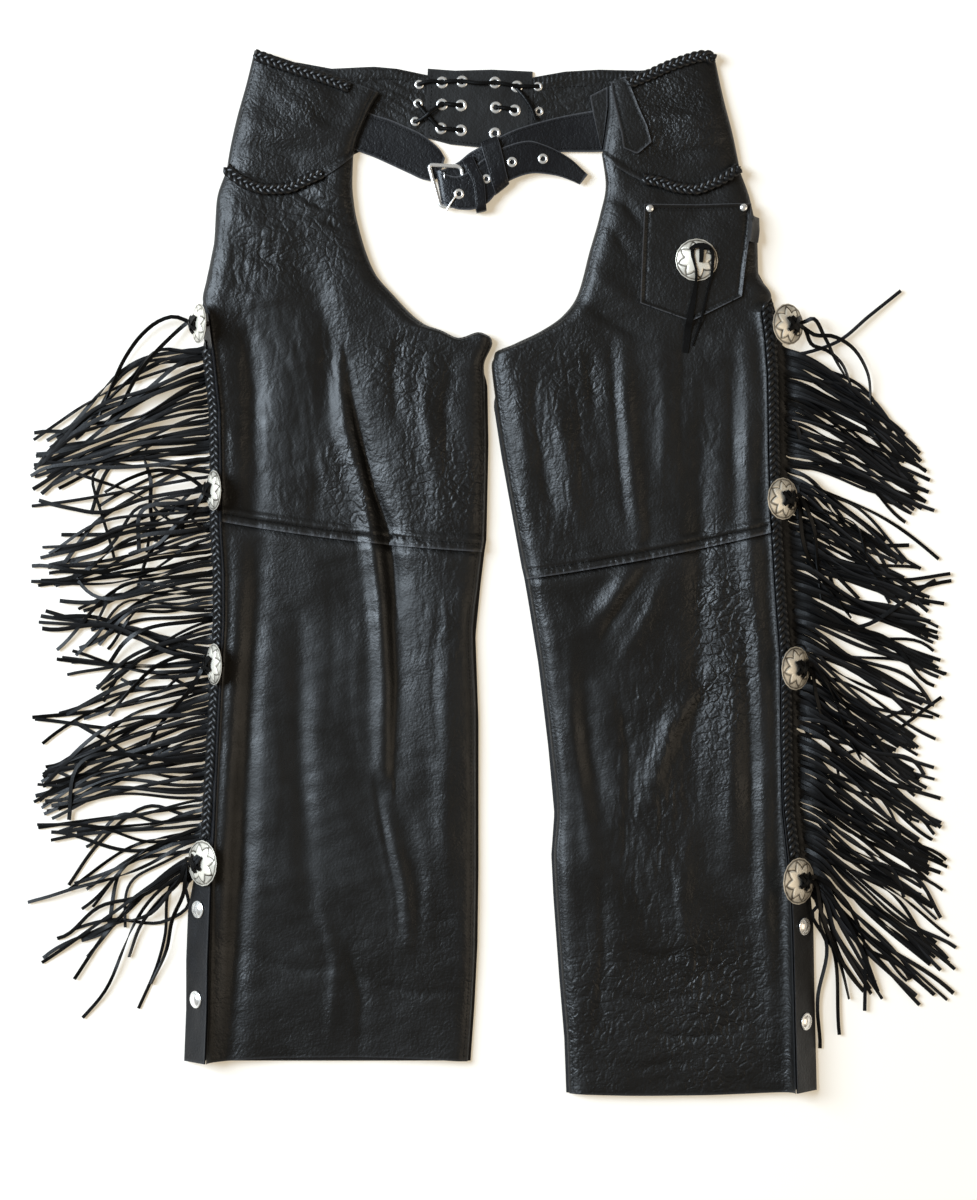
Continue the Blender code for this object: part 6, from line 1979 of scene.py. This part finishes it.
net = laid_net(LABEL_ROWS, 12, 8, Below(FRONTS["right"]["thigh"], pocket), 0.4 * MM, 3 * MM)
upper = net + np.array([0, 0, 0.8 * MM])
label = shell("label_tape", upper, net, "label tape", "label_cloth", edge=0.0)
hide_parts("label_tab")
cut_as(upper, (0.0118, 0.0255))
print("pocket, loop, flap and label done")

# %% [markdown]
# The pocket's concho lies flat, with a wide thong through its two slots and two tails below.
# Two small rivets hold the pocket's upper corners.

# %% Pocket concho, thong and rivets
top = Below(FRONTS["right"]["thigh"], pocket)
POCKET_CONCHO = (696, 261)
CONCHO_DIAMETER = 40 * MM
x, y, _ = plan(*POCKET_CONCHO)
centre = np.array([x, y, max(top.around(x, y, CONCHO_DIAMETER / 2), top.around(x, y, 12 * MM)) + 0.2 * MM])
pocket_concho = make_concho("pocket_concho_disc", centre, UP, CONCHO_DIAMETER, "pocket_concho")
for number, place in enumerate([(649.5, 209.5), (743, 208.5)], 1):
    x, y, _ = plan(*place)
    points, faces = spun([(r * MM, h * MM) for r, h in RIVET_CAP], np.array([x, y, top.around(x, y, 3 * MM) + 0.1 * MM]), UP, 20)
    made = add_piece(f"pocket_rivet_cap_{number}", points, faces, "bright nickel", slot="nickel", crisp=70)
    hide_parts(f"pocket_rivet_{number}")

Thong = namedtuple("Thong", "line widths lift")
THONGS = [
    Thong([(691.5, 249), (691.5, 256), (693, 263), (695.5, 275), (694, 292), (689, 320), (685, 353)], (4.2, 2.2, 2.6, 5.0, 6.2, 6.2, 5.2), 0.7),
    Thong([(703, 249), (709, 250), (712, 258), (711.5, 270), (707, 292), (700, 322), (692, 346)], (4.0, 3.4, 2.2, 1.8, 1.8, 1.8, 1.6), 0.7),
    Thong([(689, 251.5), (695, 247.5), (702, 247), (709, 249.5)], (3.6, 4.4, 4.8, 4.0), 2.6),
    Thong([(700.5, 248), (700.5, 255), (700, 264)], (4.6, 4.4, 4.0), 1.5),
]
below_thong = Below(FRONTS["right"]["thigh"], pocket, pocket_concho)
parts = []
for thong in THONGS:
    places = even_line(thong.line, 3 * MM)
    path = below_thong.lay(plan(places[:, 0], places[:, 1]), 2 * MM, thong.lift * MM)
    widths = np.interp(np.linspace(0, 1, len(path)), np.linspace(0, 1, len(thong.widths)), thong.widths)
    parts.append(ribbon(path, np.tile(UP, (len(path), 1)), widths * MM, 1.2 * MM))
points, faces = join(parts)
made = add_piece("pocket_thong_tails", points, faces, "lace leather", slot="fringe_leather", crisp=40)
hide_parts("pocket_thong")
print("pocket fittings done")

# %% [markdown]
# A seam is read by its stitches. Each is one grain of thread, bulging in its middle and sunk at
# both ends, and all of them are one mesh, because a thousand small objects would be slow.

# %% Seams
STITCH_PITCH = 3.6 * MM
STITCH_LENGTH = 2.8 * MM
STITCH_WIDTH = 0.9 * MM
STITCH_FACES = [(0, 2, 3), (0, 3, 4), (0, 4, 5), (0, 5, 2), (1, 3, 2), (1, 4, 3), (1, 5, 4), (1, 2, 5)]
POCKET_SEAM = [
    (648.4, 209.5), (700, 209.2), (746.6, 208.6), (743.2, 246), (739.8, 270), (736.6, 294.6), (690.6, 317.4),
    (644.8, 301), (645.6, 278), (646.8, 250), (648.4, 214),
]
LOOP_SEAMS = [
    [(613.5, 84), (615.5, 93), (619.5, 112.5), (624.5, 134), (627, 147)],
    [(623, 80.5), (628, 89.5), (634.5, 108), (643.5, 129), (647.5, 141)],
]
PANEL_SEAM = [(432, 70.5), (430.6, 100), (428.5, 132.5), (452, 139.5), (490, 143.2), (528.5, 143.4), (528.8, 100), (529, 73.5)]
BINDING_SEAMS = {"right": [(540, 88), (565, 85.5), (598, 84)], "left": [(372, 77), (396, 78), (422, 84)]}


def on_top(line, below):
    places = even_line(line, 2 * MM)
    points = plan(places[:, 0], places[:, 1])
    points[:, 2] = [below.height(p[0], p[1]) for p in points]
    return points


def stitches(line):
    """The thread of one seam, as grains along a line of points."""
    run = run_along(line)
    at = np.arange(STITCH_PITCH, run[-1] - STITCH_PITCH, STITCH_PITCH)
    first, last = (np.stack([np.interp(at + half, run, line[:, i]) for i in range(3)], -1) for half in (-STITCH_LENGTH / 2, STITCH_LENGTH / 2))
    middle = (first + last) / 2 + UP * STITCH_WIDTH * 0.15
    aside = np.cross(last - first, UP)
    aside *= STITCH_WIDTH / 2 / np.linalg.norm(aside, axis=1)[:, None]
    high = UP * STITCH_WIDTH * 0.4
    points = np.stack([first, last, middle + high, middle + aside, middle - high, middle - aside], 1).reshape(-1, 3)
    faces = [[6 * index + corner for corner in face] for index in range(len(at)) for face in STITCH_FACES]
    return points, faces


SEAMS.append(on_top(POCKET_SEAM, Below(pocket)))
SEAMS += [on_top(line, Below(loop)) for line in LOOP_SEAMS]
SEAMS.append(on_top(PANEL_SEAM, Below(bpy.data.objects["lacing_panel_shell"])))
for side, line in BINDING_SEAMS.items():
    SEAMS.append(on_top(line, Below(bpy.data.objects[f"yoke_back_shell_{side}"])))
points, faces = join([stitches(line) for line in SEAMS])
add_piece("seam_thread", points, faces, "black thread", crisp=180)
print("seams", len(SEAMS), "stitches", len(points) // 6)
